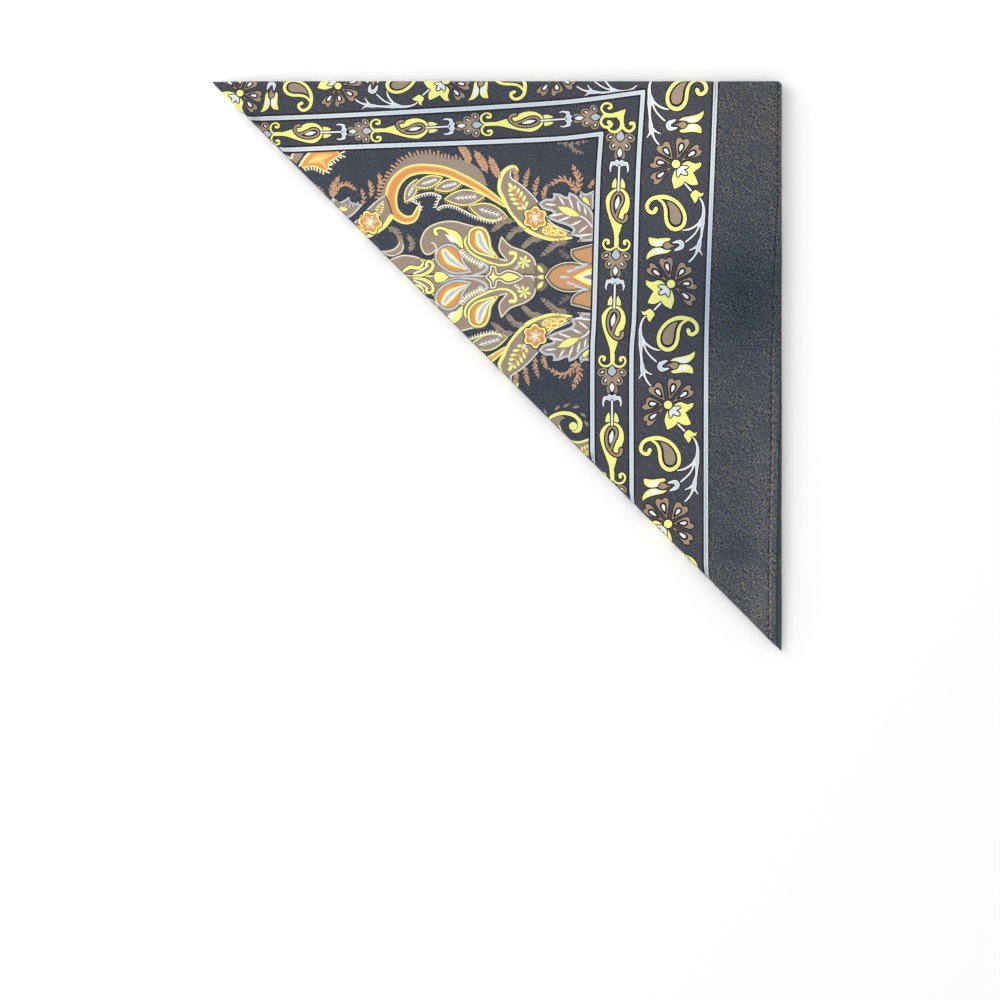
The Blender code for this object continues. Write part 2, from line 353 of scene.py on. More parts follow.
def ahead_and_left(line):
    """At each point of a line, the unit steps along it and to its left."""
    ahead = np.gradient(line, axis=0)
    ahead /= np.hypot(*ahead.T)[:, None]
    return ahead, np.stack([-ahead[:, 1], ahead[:, 0]], axis=1)


def stroke(points, widths):
    """A brush stroke along a smooth line, with its widths from start to end."""
    line = through(points)
    reach = distances(line)
    half = np.interp(reach / reach[-1], np.linspace(0, 1, len(widths)), widths) / 2
    ahead, side = ahead_and_left(line)
    left, right = line + side * half[:, None], line - side * half[:, None]

    def cap(end, out, across):
        corner = half[end] * 0.7
        return line[end] + [(out + across) * corner, out * half[end], (out - across) * corner]

    return np.vstack([left, cap(-1, ahead[-1], side[-1]), right[::-1], cap(0, -ahead[0], -side[0])])


def turned(points, angle):
    """The points turned about the origin, counterclockwise in degrees."""
    c, s = cos(radians(angle)), sin(radians(angle))
    points = np.asarray(points, float)
    return np.stack([points[:, 0] * c - points[:, 1] * s, points[:, 0] * s + points[:, 1] * c], 1)


def drop(length, width, count=12, sharp=1.3):
    """A teardrop that starts pointed at the origin and is round at its far end."""
    t = np.arange(count) * tau / count
    rise = width / 2 * 1.15 * np.sin(t) * np.abs(np.sin(t / 2)) ** sharp
    return np.stack([length / 2 * (1 - np.cos(t)), rise], 1)


def lens(length, width, count=5):
    """A leaf that is pointed at both ends, from the origin onwards."""
    t = np.linspace(0, 1, count + 1)
    rise = width / 2 * np.sin(pi * t)
    upper = np.stack([length * t, rise], 1)
    return np.vstack([upper, (upper * (1, -1))[-2:0:-1]])


def disc(radius, flat=1.0, count=12):
    """A round spot, or a flat one."""
    t = np.arange(count) * tau / count
    return np.stack([radius * np.cos(t), radius * flat * np.sin(t)], 1)


def scallops(count, outer, inner, shoulder):
    """An edge with round scallops."""
    rows = []
    for k in range(count):
        for offset, radius in ((-0.5, inner), (-0.2, shoulder), (0.0, outer), (0.2, shoulder)):
            angle = (k + offset) * tau / count
            rows.append((radius * cos(angle), radius * sin(angle)))
    return shape(rows)


def grown(outline, by):
    """The outline moved outwards all round."""
    outline = facing_left(outline)
    ahead = np.roll(outline, -1, 0) - outline
    ahead /= np.maximum(np.hypot(*ahead.T), 1e-9)[:, None]
    normal = ahead + np.roll(ahead, 1, 0)
    normal = np.stack([normal[:, 1], -normal[:, 0]], 1)
    normal /= np.maximum((normal**2).sum(1) / 2, 1.0)[:, None]
    return outline + normal * by


def facing_left(outline):
    """The outline in counterclockwise order."""
    x, y = outline.T
    area = (x * np.roll(y, -1) - np.roll(x, -1) * y).sum()
    return outline if area > 0 else outline[::-1]


def rimmed(ink, outline, rim=RIM, rim_ink="dark"):
    """The outline with a thin rim round it."""
    return [(rim_ink, grown(outline, rim)), (ink, outline)]


def put(drawing, x, y, turn=0.0, size=1.0, flip=False):
    """The drawing moved to a place, turned counterclockwise in degrees, and mirrored first
    where flip says so."""
    sign = np.array([1.0, -1.0 if flip else 1.0])
    return [(ink, turned(outline * sign * size, turn) + (x, y)) for ink, outline in drawing]


def pair(drawing):
    """The drawing and its mirror image across its own axis."""
    return drawing + put(drawing, 0, 0, flip=True)


def each(rows, draw):
    """What draw makes of every row, one after the other."""
    return [part for row in rows for part in draw(*row)]


def yellow_line(points, widths, rim=RIM):
    return rimmed("yellow", stroke(points, widths), rim)


def rims_first(drawing):
    """All dark rims before everything else, then the white edges, so that no motif cuts its
    neighbour."""
    order = {"dark": 0, "white": 1}
    return sorted(drawing, key=lambda part: order.get(part[0], 2))


def edged(points, widths):
    """A pale stroke that is blue inside where it is wide and stays white where it is thin."""
    outer = stroke(points, widths)
    inner = stroke(points, [max(0.05, width - 2 * EDGE) for width in widths])
    return rimmed("white", outer, EDGED_RIM) + [("pale blue", inner)]


def ticks(points, pitch, length, width, lean, ink, swell=0.0):
    """Short hairs along one side of a smooth line; lean is their angle to it."""
    line = through(points, step=0.5)
    reach = distances(line)
    drawing = []
    for mark in np.arange(0.0, reach[-1], pitch):
        foot, ahead = (np.array([np.interp(at, reach, way) for way in line.T]) for at in (mark, mark + 0.3))
        heading = np.degrees(np.arctan2(*(ahead - foot)[::-1]))
        long, half = length * (1 + swell * sin(mark * 2.1)), width / 2
        hair = [(0, -half), (long * 0.8, -half), (long, 0), (long * 0.8, half), (0, half)]
        drawing.append((ink, turned(hair, heading + lean) + foot))
    return drawing


FERN_STEM = [0.45, 0.27]
FERN_SPREAD = 33.0  # the angle of its leaves to the stem


def fern(ink, leaves, size, points):
    """A sprig: a thin stem with pointed leaves on both sides, longest below its middle."""
    line = through(points, step=0.4)
    last = len(line) - 1
    drawing = [(ink, stroke(points, FERN_STEM))]

    def heading(start, end):
        return np.degrees(np.arctan2(*(line[end] - line[start])[::-1]))

    for k in range(leaves):
        share = 0.08 + 0.86 * k / (leaves - 1)
        at = int(share * last)
        along = heading(max(0, at - 1), min(last, at + 1))
        length = size * (0.45 + 0.55 * sin(pi * (0.25 + 0.70 * share)))
        leaf = drop(length, size * 0.35, count=8, sharp=0.8)
        drawing += [(ink, turned(leaf, along + side) + line[at]) for side in (FERN_SPREAD, -FERN_SPREAD)]
    tip = drop(size * 0.7, size * 0.3, count=8)
    return drawing + [(ink, turned(tip, heading(last - 2, last)) + line[-1])]


# ---------------------------------------------------------------- the motifs of the borders
# In a border's own measure: (forward along the border, outward across it)
FLOWER_PETALS = [  # (turn from outward towards back, its two lobes' reach, width)
    (129, 11.5, 11, 6.4),
    (75, 12, 12.4, 6),
    (35, 13.4, 13, 4.8),
    (177, 11.8, 10, 5.4),
    (218, 13.4, 13.2, 4.9),
]


def flower_petal(one, other, width):
    """A heart-shaped petal: tan round a dark gap, with a white core."""
    length = (one + other) / 2
    outer = shape(
        [(2.6, 0), (0.45 * one, 0.20 * width), (0.70 * one, 0.42 * width), (0.90 * one, 0.50 * width),
         (one, 0.28 * width), (0.91 * length, 0.02 * width), (other, -0.28 * width),
         (0.90 * other, -0.50 * width), (0.70 * other, -0.42 * width), (0.45 * other, -0.20 * width)],
        corners=(0, 5),
    )
    gap = drop(0.54 * length, 3.9) + (0.31 * length, 0)
    white = shape([(0.49 * length, 0), (0.60 * length, 0.6), (0.72 * length, 0.66), (0.77 * length, 0),
                   (0.72 * length, -0.66), (0.60 * length, -0.6)])
    return [("dark", grown(outer, 0.5)), ("tan", outer), ("dark", gap), ("white", white)]


def five_petals():
    """The flower."""
    # outward is the second axis and forward the first, so the turn starts at 90 degrees
    return each(FLOWER_PETALS, lambda angle, *sizes: put(flower_petal(*sizes), 0, 0, turn=90 + angle))


def flower_leaf():
    """The yellow leaf under the flower, with a pale three-lobed sprout on it."""
    leaf = shape(
        [(0.1, 2.8), (-1.4, 5.4), (-0.5, 8.6), (-1.2, 11.5), (0.8, 11.2), (3.5, 7.9), (6, 9.3),
         (8.8, 10.5), (9.3, 8.4), (8.8, 6.2), (7.6, 4.5), (9.6, 3), (11.4, -0.3), (9, -1.1),
         (6.8, -1.5), (3, -0.3), (1.8, 1.4)],
        corners=(3, 5, 7, 10, 12),
    )
    sprout = shape(
        [(2.8, 0.6), (1.1, 2), (0.7, 3.9), (1.1, 6.1), (2.6, 3.5), (3.5, 5), (4.8, 5.2),
         (4.7, 3.6), (3.9, 2.4), (5, 1.8), (6.2, 0.9), (4.4, 0.6)],
        corners=(3, 4, 8, 10),
    )
    return (
        rimmed("yellow", leaf)
        + rimmed("pale edge", sprout, rim=0.55)
        + rimmed("yellow", disc(1.9), rim=0.55)
    )


def flower_bud():
    bud = shape(
        [(14.1, 7.2), (12.3, 8.1), (11.5, 9.6), (12.9, 11.8), (12.5, 13.3), (14.2, 12.4), (14.4, 10.8),
         (16.2, 10.3), (17.5, 9.3), (16, 8.4)],
        corners=(4, 6, 8),
    )
    stem = stroke([(8.6, 4.3), (10.2, 5.8), (11.8, 7.3)], [0.8, 0.8])
    return rimmed("white", stem, rim=0.45) + rimmed("yellow", bud)


def flower_vine(late=0):
    """The pale stem. late says how much later than usual its fork comes."""
    fork = 37.6 + late
    strokes = [
        ([(14.6, 11), (16.3, 12.4), (18.5, 13.2), (20.8, 13.5), (23, 13.4), (25.6, 13.1), (28, 13.1),
          (32, 12.9), (fork - 3, 12.3), (fork - 1, 12), (fork + 0.8, 11.8)],
         [0.6, 0.8, 1, 1.4, 1.7, 2.1, 1.3, 1, 1.1, 2, 1.9]),
        ([(23.4, 13.2), (26.2, 11.8), (28, 9.8), (29.3, 7.6), (29.8, 5.8), (30.1, 4.2)],
         [1.2, 1.4, 1, 0.9, 0.9, 0.4]),
        ([(26.8, 12), (30.1, 10.7), (32.5, 8.9), (35.2, 5.9)], [1, 0.7, 0.8, 0.7]),
        ([(fork + 1, 11.4), (fork + 3.4, 10.4), (fork + 5.3, 9.1), (fork + 6.6, 7.8)],
         [1.4, 0.8, 0.8, 0.7]),
        ([(fork - 0.4, 11.2), (fork + 0.6, 9.4), (fork + 1.3, 7.8)], [1.6, 0.7, 0.5]),
        ([(fork + 0.9, 12), (fork + 2.2, 12.9), (fork + 3.4, 13.7)], [1.2, 0.7, 0.3]),
    ]
    return rims_first(each(strokes, edged))


def curled_paisley():
    band = stroke(
        [(20.7, -8.3), (22.3, -9), (22.5, -10.4), (21.3, -12.1), (19.6, -12.4), (17.6, -11.6),
         (16.1, -9.9), (15.4, -7.3), (15.2, -4.5), (15.9, -1.6), (17.4, 1.1), (19.6, 3.2), (22.4, 4.7),
         (25.4, 5.1), (28, 4.2), (29.6, 1.8), (29.4, -0.6), (27.7, -2.5), (25, -3.5), (21.6, -3.8),
         (19, -4.5), (17.3, -5.8), (16.4, -7.3)],
        [1.9, 1.7, 1.6, 1.7, 1.7, 1.8, 1.9, 1.9, 1.7, 1.6, 1.6, 1.6, 1.6, 1.6, 1.7, 1.8, 1.8, 1.7,
         1.6, 1.6, 1.5, 1.3, 1],
    )
    body = shape(
        [(17, -3.6), (17.6, -1.4), (19.3, 0.9), (21.8, 2.7), (24.8, 3.4), (27, 2.6), (27.6, 1),
         (26.9, -0.8), (24.6, -1.7), (21, -2), (18.9, -2.7)],
        corners=(0,),
    )
    return [("dark", grown(band, RIM)), ("dark", grown(body, 0.6)), ("yellow", band), ("brown", body)]


def tulip(turned_over=False):
    """The bud in its pale cup between two half-white petals."""
    cup = [(35.8, 0.2), (35.4, 1.7), (35.3, 3.3), (36.4, 4.2), (37.7, 3.9), (38.5, 2.7), (39.3, 1)]
    upper = shape(
        [(34.6, -1), (33.8, -1.7), (33.9, -4), (34.3, -7.2), (33.8, -11), (35.8, -10.9), (37.3, -9.8),
         (37.9, -7.8), (37.6, -4.8), (36, -3.8), (35.2, -2.3)],
        corners=(4, 8),
    )
    upper_white = shape([(36.7, -9.4), (35.7, -8.4), (35.1, -6.4), (35, -3.6), (36.2, -4.4), (37.3, -5.1),
                         (37.5, -7.6)], corners=(3, 5))
    lower = shape(
        [(44, -11.7), (41.8, -11.4), (40.1, -10.3), (38.7, -8.4), (38.4, -5.4), (39.2, -3.4),
         (39.2, -0.4), (40.5, -2.2), (41.3, -5.8), (42.4, -9.3)],
        corners=(0, 6),
    )
    lower_white = shape([(41, -10.1), (39.3, -8.2), (38.7, -5.4), (39.6, -2.2), (40.5, -4.6), (41, -7.4)],
                        corners=(0, 3))
    heart = shape([(37.5, -4.3), (36.1, -3.4), (35.7, -1.9), (36.8, -0.5), (37.1, 1.3), (37.8, -0.4),
                   (38.6, -1.9), (38.5, -3.4)], corners=(4,))
    drawing = (
        rimmed("yellow", upper) + rimmed("yellow", lower)
        + [("white", upper_white), ("white", lower_white)]
        + edged(cup, [0.6, 1.2, 1.9, 2.2, 1.9, 1.4, 0.6])
        + rimmed("tan", heart, rim=0.5)
    )
    return put(drawing, 74, 0, turn=180, flip=True) if turned_over else drawing


def flower_unit(flip):
    """One flower with all up to the next. On every second one the stem forks later and the
    bud between the white petals is turned over."""
    vine = flower_vine(2.2 if flip else 0)
    return vine + five_petals() + flower_bud() + flower_leaf() + curled_paisley() + tulip(flip)


SIDE_PETALS = [(0.6, 4.45, 58), (4.4, 3, 25)]  # (forward, outward, turn) of each core


def side_petal():
    """A small ring round a white core, which is its origin."""
    ring = shape([(-2.5, 0), (-1.2, 1.5), (0.6, 1.8), (2.1, 0.9), (2.1, -0.9), (0.6, -1.8), (-1.2, -1.5)])
    gap = shape([(-1.7, 0), (-0.5, 1), (0.8, 1.05), (1.5, 0), (0.8, -1.05), (-0.5, -1)])
    core = lens(2, 0.9) + (-1, 0)
    return [("dark", grown(ring, 0.35)), ("tan", ring), ("dark", gap), ("white", core)]


def small_palmette():
    """The narrow border's unit, from one grey drop to the next."""
    sides = [(forward, outward * side, turn * side)
             for forward, outward, turn in SIDE_PETALS for side in (1, -1)]
    drawing = each(sides, lambda *place: put(side_petal(), *place))
    web = mirrored([(-0.9, 0), (-0.5, 2.5), (1.8, 3.2), (4.6, 2.2), (6.6, 2), (9, 2.4), (10.4, 1.9),
                    (9.8, 0.9), (8.4, 0)], corners=(6,))
    gap = mirrored([(4.6, 0), (6.4, 1.3), (8.3, 1.6), (10.2, 0.6), (11.2, 0)], corners=(0, 4))
    drawing += [("tan", web), ("dark", gap), ("white", lens(4.3, 2.2) + (5.5, 0))]
    drop_rim = [(-2.6, 0), (-0.8, 1.4), (0.8, 1.8), (2.5, 0)]
    drawing += rimmed("grey blue", mirrored(drop_rim, corners=(0, 3)), rim=0.5)
    crown = mirrored(
        [(11.5, 0), (10.7, 1.25), (11.8, 2.3), (11.8, 3.7), (12.9, 4.2), (13.6, 3.5), (13.3, 2),
         (14.3, 0.6), (14.8, 0)],
        corners=(1, 2, 4),
    )
    hook = [(13.4, 3.7), (15, 4.1), (16.3, 3.8)]
    drawing += rims_first(
        pair(edged(hook, [1.1, 0.8, 0.5])) + rimmed("white", crown, EDGED_RIM)
        + [("pale blue", grown(crown, -0.4))]
    )
    blade = shape([(19.1, 1.5), (21.4, 2.8), (23.8, 3), (23.5, 1), (20.7, 1)], corners=(0, 2, 3))
    bulb = shape(
        [(23.9, 0), (24.4, 2.5), (27, 4.7), (30.6, 5.4), (33.1, 5), (35.2, 4.2), (40, 2.4), (42.8, 1.6),
         (46, 0.8), (51.2, 0.7), (51.8, 0), (51.2, -0.7), (46, -1.1), (43.2, -1.6), (40.4, -2.6),
         (35.1, -4.5), (32, -5.3), (29, -5.5), (26.4, -4.3), (24.4, -2)]
    )
    ring = stroke(
        [(36.4, 4.2), (38, 4), (39.1, 2.8), (38.9, 1.2), (37.3, -0.7), (35.3, -1.9), (33, -2.5),
         (30.6, -2.6), (28.3, -2.1), (26.6, -1.1), (26, 0.3), (26.9, 1.6), (28.4, 2.1), (30.4, 1.8),
         (32.5, 0.8), (34.5, 0), (36.2, -0.4)],
        [1.6, 1.4, 1.1] + [1] * 14,
    )
    middle = shape([(26.6, 0.4), (27.8, 1.4), (30.2, 1.2), (33, 0), (35.4, -0.9), (33.4, -1.9), (30.4, -2),
                    (28, -1.3)])
    drawing += pair(rimmed("yellow", blade))
    drawing += rimmed("yellow", bulb) + [("dark", grown(ring, 0.65)), ("dark", middle), ("tan", ring)]
    drawing += [("white", turned(lens(6.6, 1.9), -10) + (27.3, 0.3))]
    drawing += rimmed("white", stroke([(13.9, 0), (19, 0), (25, 0)], [0.8, 0.8, 0.9]), rim=0.4)
    scroll = yellow_line(
        [(50.6, 0.3), (52, 2.3), (51.6, 4.8), (49.5, 6), (47.6, 5.1), (47.9, 3.6), (49.1, 3.8)],
        [1, 1, 1, 0.9, 0.9, 1.1, 1.5],
    )
    drawing += rims_first(pair(scroll))
    drawing += [("yellow", mirrored([(46, 0), (46.2, 0.9), (51.2, 0.8), (52.6, 0)]))]
    return drawing


def corner_scroll():
    """Where the two narrow borders meet; x and y as on the cloth."""
    strokes = [
        ([(-3.6, 1.4), (-6.9, 2.1), (-8.5, 4.4), (-7, 6.6), (-4.4, 6.4), (-3.8, 4.9), (-5, 4.5)],
         [1.4, 1.1, 1, 1, 1, 1.1, 1.4]),
        ([(-7.2, 1), (-8.7, -1.4), (-7.6, -3.7), (-5.2, -4.1), (-3.8, -2.9), (-5, -1.9)],
         [1.4, 1.2, 1.2, 1.3, 1.5, 2]),
        ([(0.8, 0.4), (0.6, -4), (-1.8, -6.3), (-4.6, -5.7), (-5.5, -4)], [2, 1.6, 1.4, 1.2, 0.9]),
        ([(0.8, -1.6), (2.1, -5.1), (4.6, -6), (6.4, -4.4), (6.2, -2.3), (4.9, -2.5)],
         [1.6, 1.4, 1.3, 1.2, 1.3, 1.7]),
        ([(-7.6, 0.9), (-3.6, 1.2), (0.6, 2)], [1.2, 2, 2.6]),
    ]
    spear = shape([(2.7, 4.1), (-1.2, 2.6), (-1.6, 0.6), (1.2, -2.2), (1.7, 0.4)], corners=(0,))
    return rims_first(each(strokes, yellow_line) + rimmed("yellow", spear))


# ---------------------------------------------------------------- where the borders run
# Centre lines bow a little with the cloth: (forward in the border's measure, x, y on the cloth)
FLOWERS_DOWN = [
    (-90, 85.6, 182.5),
    (-54.6, 83.9, 147),
    (0, 81.7, 92.2),
    (54.6, 79.5, 37.6),
    (109.2, 78.1, -17.5),
    (163.8, 78.1, -71.7),
    (218.4, 78.1, -126),
    (273, 78.1, -181),
]
FLOWERS_LEFT = [
    (-54.6, 76, 138.2),
    (0, 26.6, 132.6),
    (54.6, -23, 130),
    (109.2, -72.2, 127.7),
    (163.8, -116.8, 124.6),
    (218.4, -166, 122),
]
PALMETTES_DOWN = [
    (-5, 56.6, 110),
    (0, 56.4, 104.9),
    (54.1, 54.4, 51),
    (108.2, 52.6, -2),
    (162.3, 52.6, -55.3),
    (216.4, 52.6, -109),
    (270.5, 52.6, -163),
]
PALMETTES_LEFT = [
    (-5, 49.5, 114.1),
    (0, 45.3, 113.6),
    (54.1, -8.9, 110),
    (108.2, -59, 107.2),
    (162.3, -104.5, 105.7),
    (216.4, -158, 104.6),
]


def along_run(drawing, run, start, outward, across=1, flip=False):
    """The drawing bent along a border's centre line, from this distance on. outward says on
    which side of the way forward the border's outer side lies: 1 is left, -1 is right."""
    forward, run_x, run_y = np.array(run).T
    bent = []
    for ink, outline in drawing:
        a = outline[:, 0] + start
        b = outline[:, 1] * (-1 if flip else 1) * across * outward
        x, y = np.interp(a, forward, run_x), np.interp(a, forward, run_y)
        dx, dy = (np.interp(a + 0.5, forward, way) - np.interp(a - 0.5, forward, way)
                  for way in (run_x, run_y))
        norm = np.maximum(np.hypot(dx, dy), 1e-9)
        bent.append((ink, np.stack([x - b * dy / norm, y + b * dx / norm], 1)))
    return bent


FLOWER_PITCH = 54.6
PALMETTE_PITCH = 54.1
FLOWER_SQUEEZE = 0.80  # how much narrower the upper borders are than those down the side
PALMETTE_SQUEEZE = 0.84

# The straight frame lines, each a short list of places on the cloth
OUTER_FRAME = [(61.5, -136), (61.5, -50), (61.5, 7.5), (62.6, 21.2), (64.4, 87.2), (66.7, 124.9),
               (28.9, 120.2), (-66.7, 114.5), (-112.2, 112.7), (-140, 112)]
INNER_FRAME = [(43.7, -136), (43.7, -50), (43.7, 7.5), (44.4, 21.2), (46.4, 87.2), (47.7, 105.9),
               (26.6, 103.6), (-66.7, 99.9), (-97.2, 98.6), (-140, 97.6)]
BAND_LINE = [(95.4, -136), (95.4, -15.3), (95.8, 21.2), (98.2, 87), (99.9, 130), (100.2, 140)]
FRAME_CORNER = 5
FRAME_WIDTH = 1.85


def frame_line(points, corner=None):
    """A blue line with pale edges, between two dark hairlines."""
    inks = (("dark", FRAME_WIDTH + 1.7), ("pale edge", FRAME_WIDTH), ("pale blue", FRAME_WIDTH - 2 * EDGE))
    drawing = []
    for ink, width in inks:
        parts = [points] if corner is None else [points[: corner + 1], points[corner:]]
        for part in parts:
            line = through(part, step=6)
            side = ahead_and_left(line)[1] * width / 2
            drawing.append((ink, np.vstack([line + side, (line - side)[::-1]])))
        if corner is not None:
            square = np.array([(-1, -1), (1, -1), (1, 1), (-1, 1)]) * width / 2
            drawing.append((ink, square + points[corner]))
    return drawing


CORNER = (56.2, 113.1)  # where the scroll between the two narrow borders is
FLOWER_ROWS = [  # (run, numbers of its units, which side is the outer one, squeeze)
    (FLOWERS_DOWN, range(-1, 6), 1, 1),
    (FLOWERS_LEFT, range(4), -1, FLOWER_SQUEEZE),
]
PALMETTE_ROWS = [
    (PALMETTES_DOWN, range(5), 1, 1),
    (PALMETTES_LEFT, range(4), -1, PALMETTE_SQUEEZE),
]


def borders():
    """Both borders down the side and along the top, with the frame lines."""
    drawing = []
    for run, numbers, outward, squeeze in FLOWER_ROWS:
        for k in numbers:
            flip = k % 2 == 1
            drawing += along_run(flower_unit(flip), run, k * FLOWER_PITCH, outward, squeeze, flip)
    drawing += along_run(flower_vine(), FLOWERS_LEFT, -FLOWER_PITCH, -1, FLOWER_SQUEEZE, True)
    for run, numbers, outward, squeeze in PALMETTE_ROWS:
        for k in numbers:
            drawing += along_run(small_palmette(), run, k * PALMETTE_PITCH, outward, squeeze)
    drawing += put(corner_scroll(), *CORNER)
    drawing += frame_line(OUTER_FRAME, FRAME_CORNER) + frame_line(INNER_FRAME, FRAME_CORNER)
    return drawing + frame_line(BAND_LINE)


# ---------------------------------------------------------------- the motifs of the field
# The field's large paisley figure is the same above and below a level axis. These are drawn as
# (x on the cloth, height above that axis).
AXIS_Y = 40.7

INNER_LEAVES = [  # leaves along the arch's inner side: (x, height, length, width, turn)
    (-41.6, 34.2, 11.5, 4, 62),
    (-37.2, 41.4, 13, 4.6, 17),
    (-28, 40.2, 12.6, 4.6, 14),
    (-23.4, 35.6, 18, 6.4, 4),
    (-12.4, 32.2, 18, 6.6, -16),
]


def arched_paisley():
    """The long bent paisley with its fringe and inner leaves."""
    spine = [(-35.3, 31.5), (-37.7, 26.9), (-41.7, 26.1), (-46.4, 29.3), (-48, 36),
             (-46.2, 42.6), (-41.7, 47.2), (-36.5, 49), (-30.7, 49.2), (-23.1, 48),
             (-15.6, 44.8), (-7.5, 40.5), (-1.1, 36.2), (3.9, 32.5)]
    widths = [2.2, 3.7, 4.6, 5.3, 5.7, 5.2, 4.8, 4.5, 4.4, 4.3, 4.2, 3.8, 3.2, 1.8]
    mantle = shape(
        [(-54.6, 30), (-52.8, 37.1), (-49.3, 44.9), (-44.6, 51), (-40, 54.2), (-34.2, 55.7),
         (-28.4, 55.7), (-22.6, 53.9), (-16.2, 53.2), (-11, 51.3), (-6.9, 47.8), (-4.2, 41.6),
         (-12, 43), (-31.9, 48.9), (-45, 42), (-48.6, 34)],
        corners=(0, 11),
    )
    fringe = [(-53.2, 36), (-49.3, 44.9), (-44.6, 51), (-40, 54.2), (-34.2, 55.5),
              (-28.4, 55.5), (-22.6, 53.7), (-15.4, 52.8)]
    drawing = ticks(fringe, 1.75, 2.3, 0.85, lean=106, ink="salmon", swell=0.25)
    drawing += rimmed("taupe", mantle, rim=0.2, rim_ink="umber")
    for x, h, length, width, turn in INNER_LEAVES:
        drawing += put(veined_leaf(length, width), x, h, turn)
    for ink, less in (("yellow", 0), ("amber", 1.3), ("orange", 2.7)):
        drawing += [(ink, stroke(spine, [max(0.15, width - less) for width in widths]))]
    return drawing


TICKED_LINES = [  # cream lines with hairs on one side: the points of each
    [(-35.2, 30.4), (-34.8, 32.5), (-36.6, 33.6), (-39.2, 34.8)],
    [(-39.2, 34.8), (-36.5, 36.8), (-32.4, 38.1), (-29, 38.3), (-25.2, 36.8)],
    [(-25.2, 36.8), (-26.6, 34.5), (-27.6, 31.6)],
    [(-27, 30.8), (-26, 31.9), (-22.6, 32.8), (-18.5, 32), (-14.4, 30), (-9.8, 27.6), (-5.1, 26.1),
     (-0.5, 25.6), (2.6, 27.4)],
]


def cream_line(points):
    return [("cream", stroke(points, [0.5, 0.6, 0.5]))]


def ticked_lines():
    drawing = []
    for points in TICKED_LINES:
        drawing += cream_line(points) + ticks(points, 1.35, 1.6, 0.5, lean=-62, ink="cream")
    return drawing


def veined_leaf(length, width):
    """A taupe leaf with a yellow line round it, ticks below and a white-veined middle."""
    outline = lens(length, width, count=8)
    drawing = ticks([(length * t, -width / 2 * sin(pi * t)) for t in (0.02, 0.25, 0.5, 0.75, 0.98)],
                    1.05, 1.5, 0.5, lean=-80, ink="amber")
    drawing += rimmed("yellow", grown(outline, 0.6), FINE_RIM) + [("taupe", outline)]
    vein = [(length * 0.26, 0), (length * 0.80, 0)]
    drawing += [("white", stroke(vein, [0.4, 0.5, 0.4]))]
    barb = [(0, -0.26), (width * 0.38, 0), (0, 0.26)]
    for k in range(5):
        for side in (1, -1):
            drawing.append(("white", turned(barb, 38 * side) + (length * (0.30 + 0.10 * k), 0)))
    return drawing


def horn_leaf():
    """The large leaf at the arch's end, with its curled tip, sprig, blossom and scales."""
    rim = [(9.6, 48.6), (8.6, 50.2), (5.9, 50), (2.6, 47), (1.6, 43.7), (1.2, 39.9), (3, 36),
           (6.2, 29.7), (10, 25), (14, 21.3), (20.6, 18.2), (27.3, 16.9), (34, 18)]
    edge = [(6.4, 48.2), (6.6, 45.2), (11.1, 42), (15.9, 37.6), (19.9, 32.6), (22.4, 27.8),
            (25.4, 24.4), (29.6, 22.2), (34, 20.4)]
    body = np.vstack([through(rim), through(edge)[::-1]])
    drawing = rimmed("taupe", body, rim=0.5)
    drawing += [("yellow", stroke(rim, [1, 1.6, 2, 1.5, 1.7, 1.3, 1.2, 1.5, 1.9, 1.6, 1.4, 1.2, 1.2]))]
    drawing += [("white", stroke(edge, [0.6, 0.55, 0.5, 0.5, 0.45, 0.4]))]
    drawing += put(flame_sprig(), 13.2, 30.6, turn=122)
    drawing += put(scaled_tail(), 19.6, 23.6, turn=-20)
    drawing += put(orange_blossom(), 17.6, 26.8, turn=28)
    return drawing


def flame_sprig():
    """A row of yellow flames on an orange vein, white at its foot."""
    drawing = []
    for along, length in ((0.6, 3.6), (3, 4.3), (5.4, 4.2), (7.8, 3.5), (10.2, 2.6)):
        for side in (1, -1):
            flame = [("yellow", drop(length, 1.7, count=9)), ("orange", drop(length * 0.5, 0.6, count=6))]
            drawing += put(flame, along, 0, turn=52 * side)
    drawing += [("yellow", drop(4, 2) + (10.4, 0))]
    drawing += [("orange", stroke([(-1.5, 0), (4, 0), (11, 0)], [1, 0.6, 0.3]))]
    drawing += [("cream", lens(5, 1.3) + (-1.8, 0))]
    return drawing


def orange_blossom():
    """A scalloped blossom with a cream six-armed flower on it."""
    drawing = rimmed("yellow", scallops(6, 5.6, 4.3, 5.6 * 0.96))
    drawing += [("orange", scallops(6, 4.7, 3.6, 4.7 * 0.95))]
    for angle, length in ((20, 3.2), (75, 3.4), (130, 3.2), (190, 3), (250, 3), (310, 3.2)):
        vein = drop(length * 0.55, 0.7, count=7) + (length * 0.35, 0)
        drawing += put([("cream", drop(length, 1.7, count=9)), ("taupe", vein)], 0, 0, turn=angle)
    return drawing + [("cream", disc(0.8, count=8))]


def scaled_tail():
    """Overlapping scales in yellow and orange towards the horn's thin end."""
    drawing = [("amber", shape([(0.5, 0.4), (4, 2.6), (9, 1.6), (15.6, -0.2), (9.6, -2), (4, -3.4)],
                               corners=(0, 3)))]
    for along, off, length, turn in ((3.2, 1.2, 3, 12), (3.4, -1.9, 2.8, -14), (6.8, 0.9, 3.4, 6),
                                     (7, -1.2, 3, -8), (10.4, 0.1, 3.6, 0)):
        scale = [("yellow", disc(length / 2 + 0.3, 0.6, count=10)),
                 ("orange", disc(length / 2 - 0.5, 0.5, count=8))]
        drawing += put(scale, along, off, turn)
    drawing += [("yellow", stroke([(9.5, 1.4), (12.6, 0.7), (15.8, -0.3)], [0.7, 0.6, 0.3]))]
    return drawing


